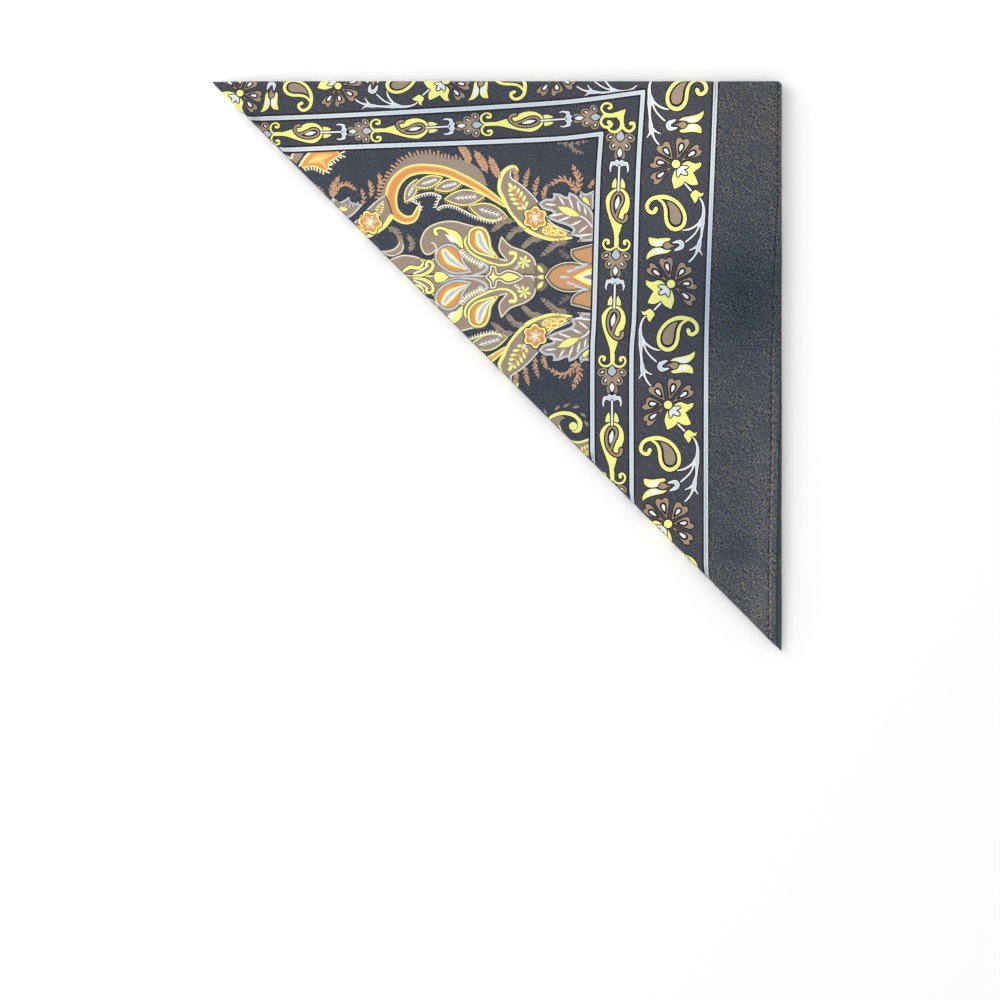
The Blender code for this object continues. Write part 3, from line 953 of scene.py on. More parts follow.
LEAF_VEINS = [  # the pale veins of the toothed leaf, from the rim inwards
    ((22.4, 33.2), (27, 32.8)),
    ((28.6, 36.4), (30.8, 33)),
    ((33, 36), (34.8, 31.4)),
    ((36.8, 34.2), (38, 29.8)),
    ((40, 31.6), (40.8, 28.4)),
    ((24.4, 27.8), (30.4, 28.9)),
    ((28.6, 25.8), (34, 27.6)),
    ((34.2, 23.6), (38.4, 25.6)),
    ((37.6, 20.4), (41.4, 23.4)),
    ((36.4, 18.6), (43.6, 19.6)),
]


def serrated_leaf():
    """The grey-edged leaf with a toothed outline and a yellow middle; its tip points left."""
    outline = shape(
        [(19, 33.5), (22.2, 35.7), (25.6, 35.9), (25.6, 38.3), (28.6, 38), (32.2, 36.6), (33, 38.7),
         (36.4, 37.2), (38.6, 34.6), (42.4, 31.6), (44.5, 27), (44.5, 16.4), (36.6, 16), (38, 17.9),
         (32.2, 19.1), (34.8, 21.4), (33, 23), (26.6, 25.2), (22.4, 27.4), (25.8, 29.3), (21, 31)],
        corners=(0, 3, 6, 11, 12, 14, 18),
    )
    bract = shape([(37.4, 33.4), (37.6, 36.4), (38.3, 39.4), (40.4, 38), (44.5, 39.6), (44.5, 31),
                   (41, 30.6)],
                  corners=(2, 4, 5))
    drawing = rimmed("pale grey", bract, rim=0.5) + [("taupe", grown(bract, -1.1))]
    drawing += put([("yellow", drop(5, 2.4))], 42.6, 32.4, turn=130)
    drawing += rimmed("pale grey", outline, rim=0.5) + [("taupe", grown(outline, -1.15))]
    for start, end in LEAF_VEINS:
        middle = np.mean([start, end], axis=0)
        drawing.append(("white", stroke([start, middle, end], [0.5, 1, 0.4])))
    drawing += [("white", stroke([(36.6, 28.4), (40.6, 26.4), (44.5, 21.8)], [0.5, 0.7, 0.7]))]
    drawing += rimmed("yellow", turned(lens(11, 3.4), -23) + (27.8, 32), rim=0.4, rim_ink="taupe")
    return drawing


def lotus():
    """The terracotta bloom that points left along the axis, up to the frame line."""
    side_petal = shape([(38.6, 6.4), (35.6, 8.2), (34.2, 10.2), (34.2, 12.4), (38.2, 13.4),
                        (44.5, 15), (44.5, 5), (41.2, 5.8)], corners=(0, 3, 5, 6))
    middle = mirrored([(22.4, 0), (25.2, 3.8), (29.8, 6.1), (34.6, 6.5), (38.6, 5.8), (44.5, 7.2),
                       (44.5, 0)], corners=(0, 4, 5))
    drawing = []
    for ink, inset in (("dark", 0.9), ("cream", 0.35), ("umber", 0), ("terracotta", -1.1)):
        for part in (side_petal, side_petal * (1, -1), middle):
            drawing.append((ink, grown(part, inset)))
    for x, h, length in ((31.2, 0, 5), (34, 2.4, 4.6), (37.6, 3.9, 4.6), (40.6, 5.2, 4)):
        for sign in ((1, -1) if h else (1,)):
            petal = drop(length, 1.6, count=10) * (-1, 1) + (length, 0)
            drawing += put([("pale blue", petal)], x - length / 2, h * sign, turn=14 * sign if h else 0)
    flame = mirrored([(34.8, 0), (38, 1.7), (41, 3.2), (44.5, 4.4), (44.5, 0)], corners=(0, 3))
    drawing += [("yellow", flame), ("cream", mirrored([(37.6, 0), (41, 1.8), (44.5, 2.8), (44.5, 0)],
                                                      corners=(0, 2))),
                ("taupe", mirrored([(39.4, 0), (41.5, 0.8), (44.5, 1.2), (44.5, 0)], corners=(0,)))]
    return drawing


def rich_drop(ink, points, spine):
    """A full teardrop in a coloured line: orange, and yellow, white and grey along its spine."""
    outline = shape(points, corners=(6,))
    drawing = [("umber", grown(outline, 0.9)), (ink, grown(outline, 0.4)), ("taupe", grown(outline, -0.5)),
               ("orange", grown(outline, -1))]
    for inner_ink, size in (("amber", 5.6), ("yellow", 4.6), ("white", 3), ("grey blue", 1.5)):
        drawing.append((inner_ink, stroke(spine, [size * 0.7, size, size * 0.55, size * 0.15])))
    return drawing


RICH_DROPS = [  # (ink of the tail and of the line, tail, its widths, outline, spine)
    ("yellow",
     [(-11.2, 21), (-14.4, 16.4), (-12.2, 11.6), (-6.4, 8), (0.4, 5.6), (5.6, 5.9), (8.4, 8.4),
      (8.6, 10.8), (6.4, 11)],
     [0.9, 0.9, 0.9, 1, 1, 0.9, 0.9, 1.2, 1.8],
     [(-12.6, 18.8), (-11.8, 21.2), (-9, 22.6), (-5.6, 21.8), (-3.6, 18.4), (-2.6, 13.4), (0.6, 8.6),
      (-4.4, 9.8), (-9.4, 11.6), (-12.4, 15)],
     [(-8, 19.6), (-7, 15.8), (-4.8, 12.6), (-1.4, 9.9)]),
    ("pale grey",
     [(-25, 2.6), (-19.6, 0.9), (-12, 0.7), (-6.4, 2.2), (-4.2, 4.6), (-6.2, 6), (-7.6, 4.8)],
     [0.8, 0.8, 0.8, 0.9, 1, 1.2, 1.9],
     [(-27.6, 8.4), (-26.8, 12.2), (-23.4, 14.6), (-19.4, 14.2), (-16.4, 11), (-15.2, 7),
      (-11.6, 2.4), (-18.6, 1.7), (-24.4, 4.2)],
     [(-23.6, 11.4), (-21.4, 8.4), (-17.8, 5.8), (-13.6, 3.6)]),
]


def palmette():
    """The body of the big palmette on the axis. The upper half."""
    body = shape(
        [(-50, -0.6), (-50, 6), (-44, 9.6), (-38.6, 9.6), (-34, 8.2), (-30.4, 6.8), (-27.6, 9.4),
         (-27.2, 12.6), (-29.6, 10.7), (-31.9, 10.3), (-33.8, 12.2), (-34.5, 16.5), (-31.9, 21.8),
         (-26, 24.8), (-19.5, 25.4), (-12.5, 23.6), (-6, 22), (-3.2, 18.5), (-2.2, 13), (0.2, 9),
         (5, 7.4), (1.2, 12.6), (2.2, 18.4), (6.4, 14.2), (13, 11.6), (16.8, 8.6), (17.9, 4.2),
         (16.4, -0.6)],
        corners=(0, 5, 7, 20, 22, 27),
    )
    rims = (("dark", 0.9), ("umber", 0.55), ("cream", 0.15), ("taupe", -0.35))
    return [(ink, grown(body, by)) for ink, by in rims]


PALMETTE_SCROLLS = [
    ([(-44, 1.2), (-39.6, 4.4), (-35.4, 4.2), (-33.4, 6.4), (-34.6, 8)], [0.8, 1.5, 1.7, 1.3, 0.6]),
    ([(-38, 0.6), (-33.6, 1), (-29.6, 3.4), (-29, 6.2), (-31.2, 7.2), (-32, 5.6)],
     [0.8, 1.3, 1.6, 1.5, 1.3, 1.4]),
]


def palmette_fillings():
    """The palmette's drops, curls, stems and flowers. The upper half."""
    drawing = []
    for ink, tail, widths, outline, spine in RICH_DROPS:
        drawing += [(ink, stroke(tail, widths))] + rich_drop(ink, outline, spine)
    drawing += [("cream", stroke([(-27.6, 10.6), (-27.4, 13.4), (-28.6, 15.4), (-29.8, 15.6)],
                                 [0.6, 0.6, 0.6, 0.4]))]
    # the small white drop with its curl, and the ticked stem
    drawing += yellow_line([(-27.4, 19.6), (-28.3, 21.2), (-25.8, 22.4), (-22, 21), (-18.4, 18.4),
                            (-15.6, 13.4)], [1.8, 1.2, 1.4, 3.4, 3.8, 0.8], FINE_RIM)
    drawing += [("white", shape([(-23.6, 19.6), (-20.2, 18.6), (-17.6, 15.4), (-20.8, 16.2)],
                                corners=(0, 2)))]
    stem = [(-16.4, 12), (-13.4, 8.8), (-9.4, 6.6), (-6.4, 5.4)]
    drawing += cream_line(stem) + ticks(stem, 1.3, 1.7, 0.6, lean=70, ink="cream")
    drawing += ticks(stem, 1.3, 1.4, 0.5, lean=-60, ink="cream")
    # a yellow flower in the right lobe
    for angle in (15, 75, 130, 190, 255, 315):
        drawing += put([("yellow", drop(3.1, 1.5, count=9))], 12.6, 6.8, turn=angle)
    drawing += ticks([(7.4, 1.6), (9.4, 3.6), (11.4, 5.2)], 0.8, 1.5, 0.5, lean=100, ink="cream")
    # the tip's petal
    drawing += [("umber", shape([(17.6, 5.2), (20.4, 6.4), (23.4, 3.6), (24.6, -0.5), (17, -0.5)],
                                corners=(3, 4)))]
    drawing += put([("yellow", lens(4.4, 2))], 18.6, 5.4, turn=-52)
    # the scrolls left of the drops
    drawing += each(PALMETTE_SCROLLS, lambda points, widths: yellow_line(points, widths, FINE_RIM))
    drawing += [("cream", stroke([(-37.6, 1.6), (-34.6, 3), (-31.2, 5.2)], [0.8, 1.1, 0.5]))]
    return drawing


def finial():
    """The yellow pieces on the axis itself."""
    bud = mirrored([(-4.6, 0), (-2.6, 1.9), (-2.2, 4.6), (-0.8, 4.4), (-0.3, 1.7), (1.4, 1), (4.6, 2.6),
                    (8.2, 2), (12, 0)],
                   corners=(0, 2, 8))
    drawing = [("umber", grown(bud, 1.2)), ("cream", grown(bud, 0.6)), ("umber", grown(bud, 0)),
               ("yellow", grown(bud, -0.75))]
    diamond = mirrored([(-28.6, 0), (-27.6, 2.4), (-24.6, 2.2), (-21.6, 0)], corners=(1, 3))
    drawing += rimmed("yellow", diamond, FINE_RIM)
    drawing += [("yellow", lens(4.2, 2) + (18.4, 0))]
    return drawing + put([("cream", stroke([(0, 0), (2.6, 0)], [0.5, 0.3]))], 15.6, 0)


FIELD_FERNS = [  # ink, leaves, size, then the stem's points
    ("salmon", 6, 3.4, [(-12, 51.6), (-13.6, 55.4), (-16.2, 59.4)]),
    ("salmon", 6, 3.4, [(-4.2, 47.4), (-6.2, 51.6), (-8.8, 55.8)]),
    ("salmon", 6, 3.2, [(2, 44.6), (-0.4, 48.6), (-2.4, 53)]),
    ("salmon", 5, 2.2, [(9.4, 43.2), (8.8, 46.4), (8.2, 49)]),
    ("salmon", 5, 2.2, [(13, 40.6), (13.4, 44.6), (14.4, 48)]),
    ("salmon", 5, 2.2, [(17.8, 36.8), (17.6, 40.8), (18.8, 44.6)]),
    ("salmon", 5, 2.2, [(21.8, 34.6), (21.6, 38), (22.6, 41)]),
    ("salmon", 7, 2.8, [(36.2, 38.2), (33.6, 43), (29.4, 44.6), (25.2, 42.4)]),
    ("salmon", 6, 3, [(36.2, 38.2), (37.6, 43.8), (35.4, 49.4)]),
    ("salmon", 4, 1.9, [(42, 40.6), (43.4, 42.4), (44.8, 44.2)]),
    ("salmon", 5, 2.2, [(-53.8, 40), (-52.8, 43.4), (-53.4, 46.2)]),
    ("salmon", 5, 2.2, [(-57.4, 36.4), (-56.8, 39.8), (-57.8, 43)]),
    ("salmon", 4, 2, [(-61, 33), (-60.4, 36), (-61.2, 39.2)]),
    ("brown", 8, 2.6, [(8.2, 25.4), (4, 25.4), (-1.2, 21.6)]),
    ("brown", 8, 2.6, [(13.2, 22), (8.8, 21.2), (4.4, 16.8)]),
    ("brown", 8, 2.6, [(20.6, 16.8), (16.6, 17), (12.2, 13.8)]),
    ("brown", 8, 2.8, [(32.8, 16), (27.6, 15.2), (21.6, 10.6)]),
    ("umber", 3, 2.4, [(33.6, 8.8), (31.6, 9.6), (29.6, 11.4)]),
    ("brown", 6, 2.4, [(-39.6, 11.6), (-38.4, 15), (-39.8, 18.2)]),
    ("brown", 7, 2.6, [(-49.4, 22.6), (-45.6, 20.6), (-43.4, 16.4)]),
]


def left_horn():
    """The arch's other end, which runs down to the long fold."""
    body = shape(
        [(-50.6, 36.8), (-54.6, 34), (-58.8, 30.2), (-64.6, 24.4), (-66, 16), (-60, 18.2),
         (-53.6, 21.4), (-47.8, 26.6), (-48.4, 31)],
        corners=(0, 3, 4),
    )
    drawing = rimmed("taupe", body, rim=0.5)
    drawing += [("white", stroke([(-50.8, 37), (-54.8, 34.3), (-59, 30.4), (-64.8, 24.6)],
                                 [0.4, 0.5, 0.5]))]
    drawing += [("yellow", stroke([(-48, 27.4), (-51.4, 22.8), (-56.8, 19.2), (-63.4, 16.8), (-68, 16)],
                                  [2.4, 1.5, 1.4, 1.4]))]
    drawing += put(orange_blossom(), -57.6, 24.8, turn=-8)
    drawing += put(flame_sprig(), -54.6, 27.8, turn=66, size=0.52)
    drawing += [("amber", shape([(-62, 23.4), (-59.6, 19.4), (-63.6, 17.4), (-67.6, 20)])),
                ("yellow", stroke([(-61.2, 21.4), (-63.6, 19.6), (-66.2, 18.4)], [1, 0.8, 0.6]))]
    return drawing


def left_leaf():
    """A grey-edged leaf beside the left horn, cut by the long fold."""
    outline = shape([(-60.8, 33), (-66.4, 34.4), (-67, 36.6), (-71.6, 34.2), (-74.4, 36.4), (-80, 30),
                     (-70, 26), (-65, 28.4)], corners=(0, 2, 4, 5))
    middle = (-67.5, 32)
    drawing = rimmed("pale grey", outline, rim=0.4) + [("taupe", (outline - middle) * 0.78 + middle)]
    drawing += ticks([(-63.6, 32.4), (-67.6, 31.6), (-72, 31)], 1.9, 2.2, 0.6, lean=-120, ink="pale grey")
    drawing += [("yellow", lens(5, 2) + (-72.6, 30.8))]
    return drawing


def far_horn():
    """The tip of a taupe leaf that reaches up left of the palmette."""
    horn = shape([(-53, 11.2), (-47.6, 12.4), (-44.8, 14.6), (-44.2, 17.8), (-42.4, 15), (-43, 11.6),
                  (-47.4, 9.4)],
                 corners=(3,))
    return [("umber", grown(horn, 0.5)), ("cream", horn), ("taupe", grown(horn, -0.5))]


def half_field():
    """The field's figure above its level axis, but for what fills the palmette."""
    drawing = far_horn() + arched_paisley() + ticked_lines() + left_horn() + left_leaf() + horn_leaf()
    return drawing + each(FIELD_FERNS, fern) + serrated_leaf() + palmette()


def edge_flame():
    """The orange leaf with its ticked edge, under the frame line near corner A."""
    outline = shape([(-71.4, 96.5), (-73.4, 94.8), (-75.7, 93.5), (-76.8, 92.1), (-76.6, 90.6), (-77.9, 89),
                     (-80.1, 90), (-82.7, 91.2), (-85.9, 91.2), (-87.9, 90.5), (-88.7, 92), (-86.5, 95.2),
                     (-83.4, 98.6), (-80, 101.5), (-74.4, 99.4)], corners=(0, 5, 9))
    sides = ([(-87.8, 90.4), (-85.9, 91), (-82.7, 91), (-80.1, 89.8), (-78, 88.8)],
             [(-77.6, 88.8), (-76.6, 90.4), (-76.6, 92), (-75.6, 93.3), (-73.4, 94.6), (-71.4, 96.3)])
    drawing = put([("taupe", shape([(0, 0), (2, 2.4), (4.4, 4), (8, 4.2), (6.2, 0.6), (4, -2.2)],
                                   corners=(0, 3, 5)))], -95.2, 94.4)
    drawing += [("cream", stroke([(-96.4, 95.6), (-93.6, 94.6), (-92.6, 97), (-91.4, 98)],
                                 [0.9, 0.8, 0.6])),
                ("cream", stroke([(-90, 91), (-87.4, 95), (-84, 98.6)], [0.7, 0.8, 0.8]))]
    for side, lean in zip(sides, (-70, -78)):
        drawing += ticks(side, 1.6, 2, 0.68, lean=lean, ink="cream")
    drawing += put([("cream", drop(3.4, 0.9)), ("cream", turned(drop(3.4, 0.9), 50))], -71.8, 96.6,
                   turn=-24)
    drawing += [("yellow", grown(outline, 0.35)), ("orange", grown(outline, -0.1)),
                ("amber", shape([(-74.6, 96.6), (-78, 94), (-80.2, 92.6), (-84, 92.6), (-86.4, 92),
                                 (-84.6, 94.6), (-81, 96.8)], corners=(0, 4))),
                ("gold", stroke([(-85.4, 92.6), (-81.6, 94.4), (-77.6, 95.6)], [0.5, 1.3, 0.4])),
                ("gold", stroke([(-80.4, 93.6), (-78.4, 91.8), (-77.8, 90.4)], [0.6, 0.9, 0.3]))]
    return drawing


def fringed_scroll():
    """The yellow scroll with its fringe, by the frame line near the long fold's lower end."""
    scroll = [(22.4, -25.6), (25.6, -22.6), (30.6, -21.2), (35.4, -22.4), (38, -25.6), (37, -28.8),
              (34.6, -28.2)]
    drawing = []
    for x, y, turn, length in ((22.6, -22.4, 110, 3.2), (26.4, -20, 40, 3.4), (30.2, -18.6, 30, 3.6),
                               (34.4, -18.8, 10, 3.6), (38, -21.2, -30, 3.4), (40, -24.6, -55, 3.6)):
        drawing += put([("brown", lens(length, 1.2))], x, y, turn=turn)
    drawing += [("taupe", shape([(20, -28), (26, -23), (31, -23.2), (30, -29), (33, -34), (41, -33.4),
                                 (46, -32), (46, -50), (22, -50)], corners=(6, 7, 8)))]
    drawing += yellow_line(scroll, [1.2, 1.5, 1.7, 1.8, 1.6, 2.4, 3.2], FINE_RIM)
    drawing += [("field ground", shape([(29.6, -24.2), (34.2, -24), (33.2, -27.2), (35.6, -30.6),
                                        (41, -31.8), (45.5, -30.8), (36, -33.4), (31.2, -31),
                                        (28.8, -27.8)]))]
    drawing += [("yellow", stroke([(28.6, -27), (29.4, -30.8), (32.2, -33.8), (37, -34.6), (42, -33.2),
                                   (46, -31.4)], [0.6, 0.9, 1, 1]))]
    drawing += rimmed("yellow", disc(1.9) + (34.9, -27.2), FINE_RIM)
    drawing += put(flame_sprig(), 36, -42, turn=40, size=0.7)
    return drawing


FREE_FERNS = [  # the same for those on the frame line, with x and y as on the cloth
    ("salmon", 8, 2.3, [(-74.6, 76.2), (-74.8, 81), (-72.2, 85.6)]),
    ("salmon", 9, 2.2, [(-74, 77.4), (-72, 81.8), (-68.2, 83), (-64.8, 81)]),
    ("salmon", 4, 1.8, [(-84, 82.4), (-80.6, 80.6), (-79.2, 78.6)]),
    ("brown", 5, 2.2, [(26.6, 102.6), (33.2, 101.2), (40, 102.4)]),
    ("brown", 4, 2, [(33, 101), (36, 98.2), (38.4, 97.4)]),
]


UNDERSIDE = -12  # x + y of what lies clear of the long fold, on the underside


def field():
    """Everything printed in the field."""
    drawing = pair(half_field()) + pair(palmette_fillings()) + finial() + lotus()
    drawing = put(drawing, 0, AXIS_Y) + edge_flame() + fringed_scroll() + each(FREE_FERNS, fern)
    # the same figure comes again on the side that lies underneath
    below = put(pair(half_field()), -52, -74, turn=90)
    return [part for part in below if (part[1].sum(1) < UNDERSIDE).all()] + drawing


# ---------------------------------------------------------------- inks
INKS = {  # as they look in soft daylight, 0 to 255
    "field ground": (61, 67, 80),
    "border ground": (68, 71, 82),
    "band ground": (68, 74, 87),
    "dark": (24, 25, 38),
    "yellow": (255, 253, 149),
    "cream": (252, 248, 218),
    "white": (250, 250, 252),
    "pale edge": (232, 237, 238),
    "pale blue": (203, 220, 235),
    "grey blue": (190, 200, 214),
    "pale grey": (204, 208, 210),
    "brown": (163, 146, 128),
    "tan": (170, 148, 122),
    "taupe": (163, 145, 130),
    "umber": (134, 120, 106),
    "orange": (230, 157, 92),
    "amber": (240, 196, 114),
    "gold": (250, 222, 140),
    "terracotta": (212, 160, 111),
    "salmon": (212, 166, 128),
}
LIGHT_GAIN = 1.12  # how much brighter than its own colour a surface comes out here


def paint(colour):
    """A colour from 0 to 255 as linear light, less what the lighting adds, and opaque."""
    c = np.array(colour, float) / 255
    light = np.where(c <= 0.04045, c / 12.92, ((c + 0.055) / 1.055) ** 2.4) / LIGHT_GAIN
    return (*light, 1.0)


# Painted light and shade where the cloth undulates and creases, partly its own uneven tone, and a warmer or
# cooler hue
SHADE_AND_TONE_PATCHES = [  # soft patches of painted shade and tone: (x, y, reach across, reach down, light, warmth)
    (113, 118, 25, 30, 0.06, 0.5),
    (126, 108, 5, 10, 0.08, 0.8),
    (112, 33, 24, 29, -0.47, -1.6),
    (108, -81, 8, 7, -0.22, -0.7),
    (104, -45, 9, 30, -0.08, 0.1),
    (124, -60, 9, 45, 0.26, 0.4),
    (120, -108, 10, 13, 0.42, 0.6),
    (-110, 115, 16, 14, -0.18, 0.2),
    (-8, 118, 44, 15, -0.12, -0.35),
    (81, 98, 16, 38, 0.20, 0.1),
    (80, 26, 16, 26, -0.13, -0.4),
    (72, -74, 14, 16, 0.03, 0.4),
    (-70, 118, 12, 9, 0.00, 0.3),
    (-80, 96, 14, 10, 0.10, 0.3),
    (75, 118, 12, 20, 0.05, 0.3),
    (20, -14, 30, 30, -0.08, -0.4),
    (-20, 85, 40, 18, 0.04, -0.1),
    (78, 20, 20, 60, 0.03, 0.1),
]


def print_layers(outline):
    """Everything printed, with the whole cloth first."""
    far = 170.0  # well past the cloth's edge
    corners = [(far, far), (far, -far)]
    border = np.array(INNER_FRAME + [(-far, 97.0), (-far, far), *corners, (43.7, -far)], float)
    band = np.array(BAND_LINE + [(101, far), *corners, (95.4, -far)], float)
    grounds = [("border ground", border), ("band ground", band)]
    return [("field ground", outline)] + field() + grounds + borders()


# ---------------------------------------------------------------- cloth meshes
GRID = 0.0023  # spacing of the points that carry the cloth's relief
GRID_SHORT = 0.011  # how far short of the packet's hemmed side they stop
HEM_LINES = np.concatenate([  # and the lines of points along the hem: in from the face's edge
    np.arange(0.0112, 0.0009, -0.0008),
    [0.0007, 0.0004, 0.0001, -0.0003, -0.0007, -0.0011, -0.0015, -0.0020, -0.0030],
])
LIP_LINES = [-0.0022, -0.0015, -0.0008, -0.0003, 0.0002, 0.0006, 0.0010, 0.0016, 0.0024]  # past A-B
FOLD_LINES = 13  # along the long fold's round part
CLEAR = 0.00005  # keeps lines of points off the grid's own rows


def relief_points():
    """Places that carry the relief: a loose grid over the cloth, closer at the hem and folds."""
    count = int(LEG / GRID)
    number = np.arange(count)
    grid = (number + 0.5) / count * LEG - HALF
    gx, gy = np.meshgrid(grid, grid)
    # every second row is moved half a space, so that triangles come out even
    gx = gx + (number % 2)[:, None] * GRID / 2
    on_face = (gx + gy > 0.004) & (gx < HALF - GRID_SHORT)
    even = number % 2 == 0
    on_back = (gx + gy < -0.010) & even[:, None] & even[None, :]
    rows = [np.stack([gx[part], gy[part]], 1) for part in (on_face, on_back)]
    for inward in HEM_LINES:
        y = np.arange(HALF - 0.001, -HALF + 0.003, -0.00095 if inward > 0 else -0.0018)
        rows.append(np.stack([face_edge(y) - inward, y], 1))
    x = np.arange(-HALF + 0.004, HALF, 0.0024)
    for past in LIP_LINES:
        rows.append(np.stack([x, np.full_like(x, HALF + past + CLEAR)], 1))
    along = np.arange(-LEG / sqrt(2) + 0.002, LEG / sqrt(2) - 0.002, 0.0026)
    _, reach, _, round_part = fold_sizes(along)
    for share in np.linspace(0.0, 1.0, FOLD_LINES):
        across = reach - round_part * share
        rows.append(np.stack([(along + across) / sqrt(2), (across - along) / sqrt(2)], 1))
    return np.vstack(rows)


def windings(points, outline):
    """How many times the outline goes round each point."""
    x, y = points[:, :1], points[:, 1:]
    x0, y0 = outline.T
    x1, y1 = np.roll(outline, -1, axis=0).T
    side = (x1 - x0) * (y - y0) - (x - x0) * (y1 - y0)
    up, down = (y0 <= y) & (y1 > y) & (side > 0), (y0 > y) & (y1 <= y) & (side < 0)
    return up.sum(1) - down.sum(1)


BATCH = 4000


def inside(points, outline):
    """Which points lie inside the outline."""
    hit = np.zeros(len(points), bool)
    for start in range(0, len(points), BATCH):
        part = slice(start, start + BATCH)
        hit[part] = windings(points[part], outline) != 0
    return hit


def top_layers(centres, layers):
    """For each place, the number of the last layer that covers it."""
    order = np.argsort(centres[:, 0])
    sorted_x = centres[order, 0]
    top = np.zeros(len(centres), int)
    for number, (_, outline) in enumerate(layers):
        low, high = outline.min(0), outline.max(0)
        near = order[np.searchsorted(sorted_x, low[0]) : np.searchsorted(sorted_x, high[0])]
        near = near[(centres[near, 1] >= low[1]) & (centres[near, 1] <= high[1])]
        top[near[inside(centres[near], outline)]] = number
    return top


UV_HALF = 0.140  # the flat cloth's map runs this far to each side
PRINTED_BARENESS = 0.30


def shade_and_tone_at(place):
    """How much lighter and how much warmer the cloth is painted: painted light and shade where it
    undulates, partly its own uneven tone.
    """
    light, warmth = np.zeros(len(place)), np.zeros(len(place))
    for x, y, across, down, more_light, more_warm in SHADE_AND_TONE_PATCHES:
        near = np.exp(-(((place[:, 0] - x) / across) ** 2) - ((place[:, 1] - y) / down) ** 2)
        light += near * more_light
        warmth += near * more_warm
    return light, warmth


def bareness_at(place):
    """How much of the weave shows: fully in the plain band, a little where it is printed."""
    line_x, line_y = np.array(BAND_LINE).T
    past = place[:, 0] / MM - np.interp(place[:, 1] / MM, line_y, line_x)
    return PRINTED_BARENESS + (1 - PRINTED_BARENESS) * smooth(past / 1.5)


def highlight_and_wear_at(place):
    """How much the hem shows its pale spots, painted highlights on the raised cloth with some wear: more of
    them lower down.
    """
    return 0.35 + 0.65 * smooth((0.03 - place[:, 1]) / 0.06)


def add_object(name, data):
    made = bpy.data.objects.new(name, data)
    bpy.context.scene.collection.objects.link(made)
    return made


DRAWN_TO = 140  # what is drawn wholly past this is left off, in millimetres from the middle
CLIPPED_TO = 150  # and no outline reaches past this


def make_printed_cloth():
    """The printed mesh: every edge of the print is an edge of triangles, each in one ink."""
    outline = cloth_outline() / MM
    layers = [
        (ink, points)
        for ink, points in print_layers(outline)
        if (points.max(0) > -DRAWN_TO).all() and (points.min(0) < DRAWN_TO).all()
    ]
    places, edges = [], []
    for _, points in layers:
        first, count = len(places), len(points)
        places += [tuple(np.clip(p, -CLIPPED_TO, CLIPPED_TO)) for p in points]
        edges += [(first + k, first + (k + 1) % count) for k in range(count)]
    grid = relief_points() / MM
    places += [tuple(p) for p in grid[inside(grid, outline)]]
    verts, _, tris, *_ = delaunay_2d_cdt(places, edges, [], 0, 1e-3, False)
    flat, tris = np.array([tuple(v) for v in verts]), np.array(tris)
    centres = flat[tris].mean(1)
    on_cloth = inside(centres, outline)
    tris, centres = tris[on_cloth], centres[on_cloth]
    top = top_layers(centres, layers)
    used, corners = np.unique(tris.ravel(), return_inverse=True)
    place = flat[used] * MM
    mesh = bpy.data.meshes.new("printed_cloth")
    mesh.from_pydata(laid(place).tolist(), [], corners.reshape(-1, 3).tolist())

    palette = {name: paint(colour) for name, colour in INKS.items()}
    inks = np.array([palette[ink] for ink, _ in layers])
    ink = mesh.color_attributes.new("ink", "FLOAT_COLOR", "CORNER")
    ink.data.foreach_set("color", np.repeat(inks[top], 3, axis=0).ravel())
    uv = mesh.uv_layers.new(name="OFBake")
    uv.data.foreach_set("uv", ((place[corners] + UV_HALF) / (2 * UV_HALF)).ravel())
    # painted light and shade, partly the cloth's own tone, and its warmth
    light, warmth = shade_and_tone_at(place / MM)
    from_stitch = place[:, 0] - stitch_x(place[:, 1])
    for name, values in (("light", light), ("warmth", warmth), ("from_stitch", from_stitch),
                         ("highlight_and_wear", highlight_and_wear_at(place)), ("bareness", bareness_at(place))):
        layer = mesh.attributes.new(name, "FLOAT", "POINT")
        layer.data.foreach_set("value", values)
    mesh.shade_smooth()
    print("printed cloth:", len(tris), "triangles,", len(layers), "outlines")
    return add_object("printed_cloth", mesh)


def finished(piece):
    """The piece with its evaluated mesh as a plain smooth one, its modifiers gone."""
    graph = bpy.context.evaluated_depsgraph_get()
    mesh = bpy.data.meshes.new_from_object(piece.evaluated_get(graph))
    piece.modifiers.clear()
    piece.data = mesh
    mesh.shade_smooth()
    return piece


def grid_sheet(name, stations, columns, place, wall):
    """A sheet of stations x columns points, made a wall by Solidify. place(i, j) gives the
    wall's middle and the share of the full wall that it has there."""
    mesh = bpy.data.meshes.new(name)
    bm = bmesh.new()
    bmesh.ops.create_grid(bm, x_segments=stations - 1, y_segments=columns - 1, size=1.0)
    shares = {}
    for vert in bm.verts:
        i = round((vert.co.x + 1) / 2 * (stations - 1))
        j = round((vert.co.y + 1) / 2 * (columns - 1))
        vert.co, shares[vert.index] = place(i, j)
    bm.to_mesh(mesh)
    bm.free()
    piece = add_object(name, mesh)
    group = piece.vertex_groups.new(name="wall")
    for index, share in shares.items():
        group.add([index], share, "REPLACE")
    solidify = piece.modifiers.new("cloth", "SOLIDIFY")
    solidify.thickness = wall
    solidify.offset = 0
    solidify.vertex_group = group.name
    return finished(piece)


# ---------------------------------------------------------------- the stretches underneath
RIM_MARKS = [0.0, 0.00010, 0.00030, 0.00065]  # in from a rim
RIM_SHARE = [0.30, 0.66, 0.90, 1.0]  # and how much of the full wall is there
RIM_ROOM = 0.004  # where a sheet is narrower than this, the marks move closer together
LIP_SWAY, HEM_SWAY = 0.00022, 0.00010  # how far a sheet's edges wander
HEM_EASE = 0.045  # towards B-C a sheet takes the hem's own line over this distance
HEM_WALL = 0.0014  # the outermost stretch where its hem is doubled
HEM_STEP = 0.0020  # the doubled cloth ends over this distance
PRESSED_THROUGH = 0.0100  # creases at least this wide show in the stretch below as well


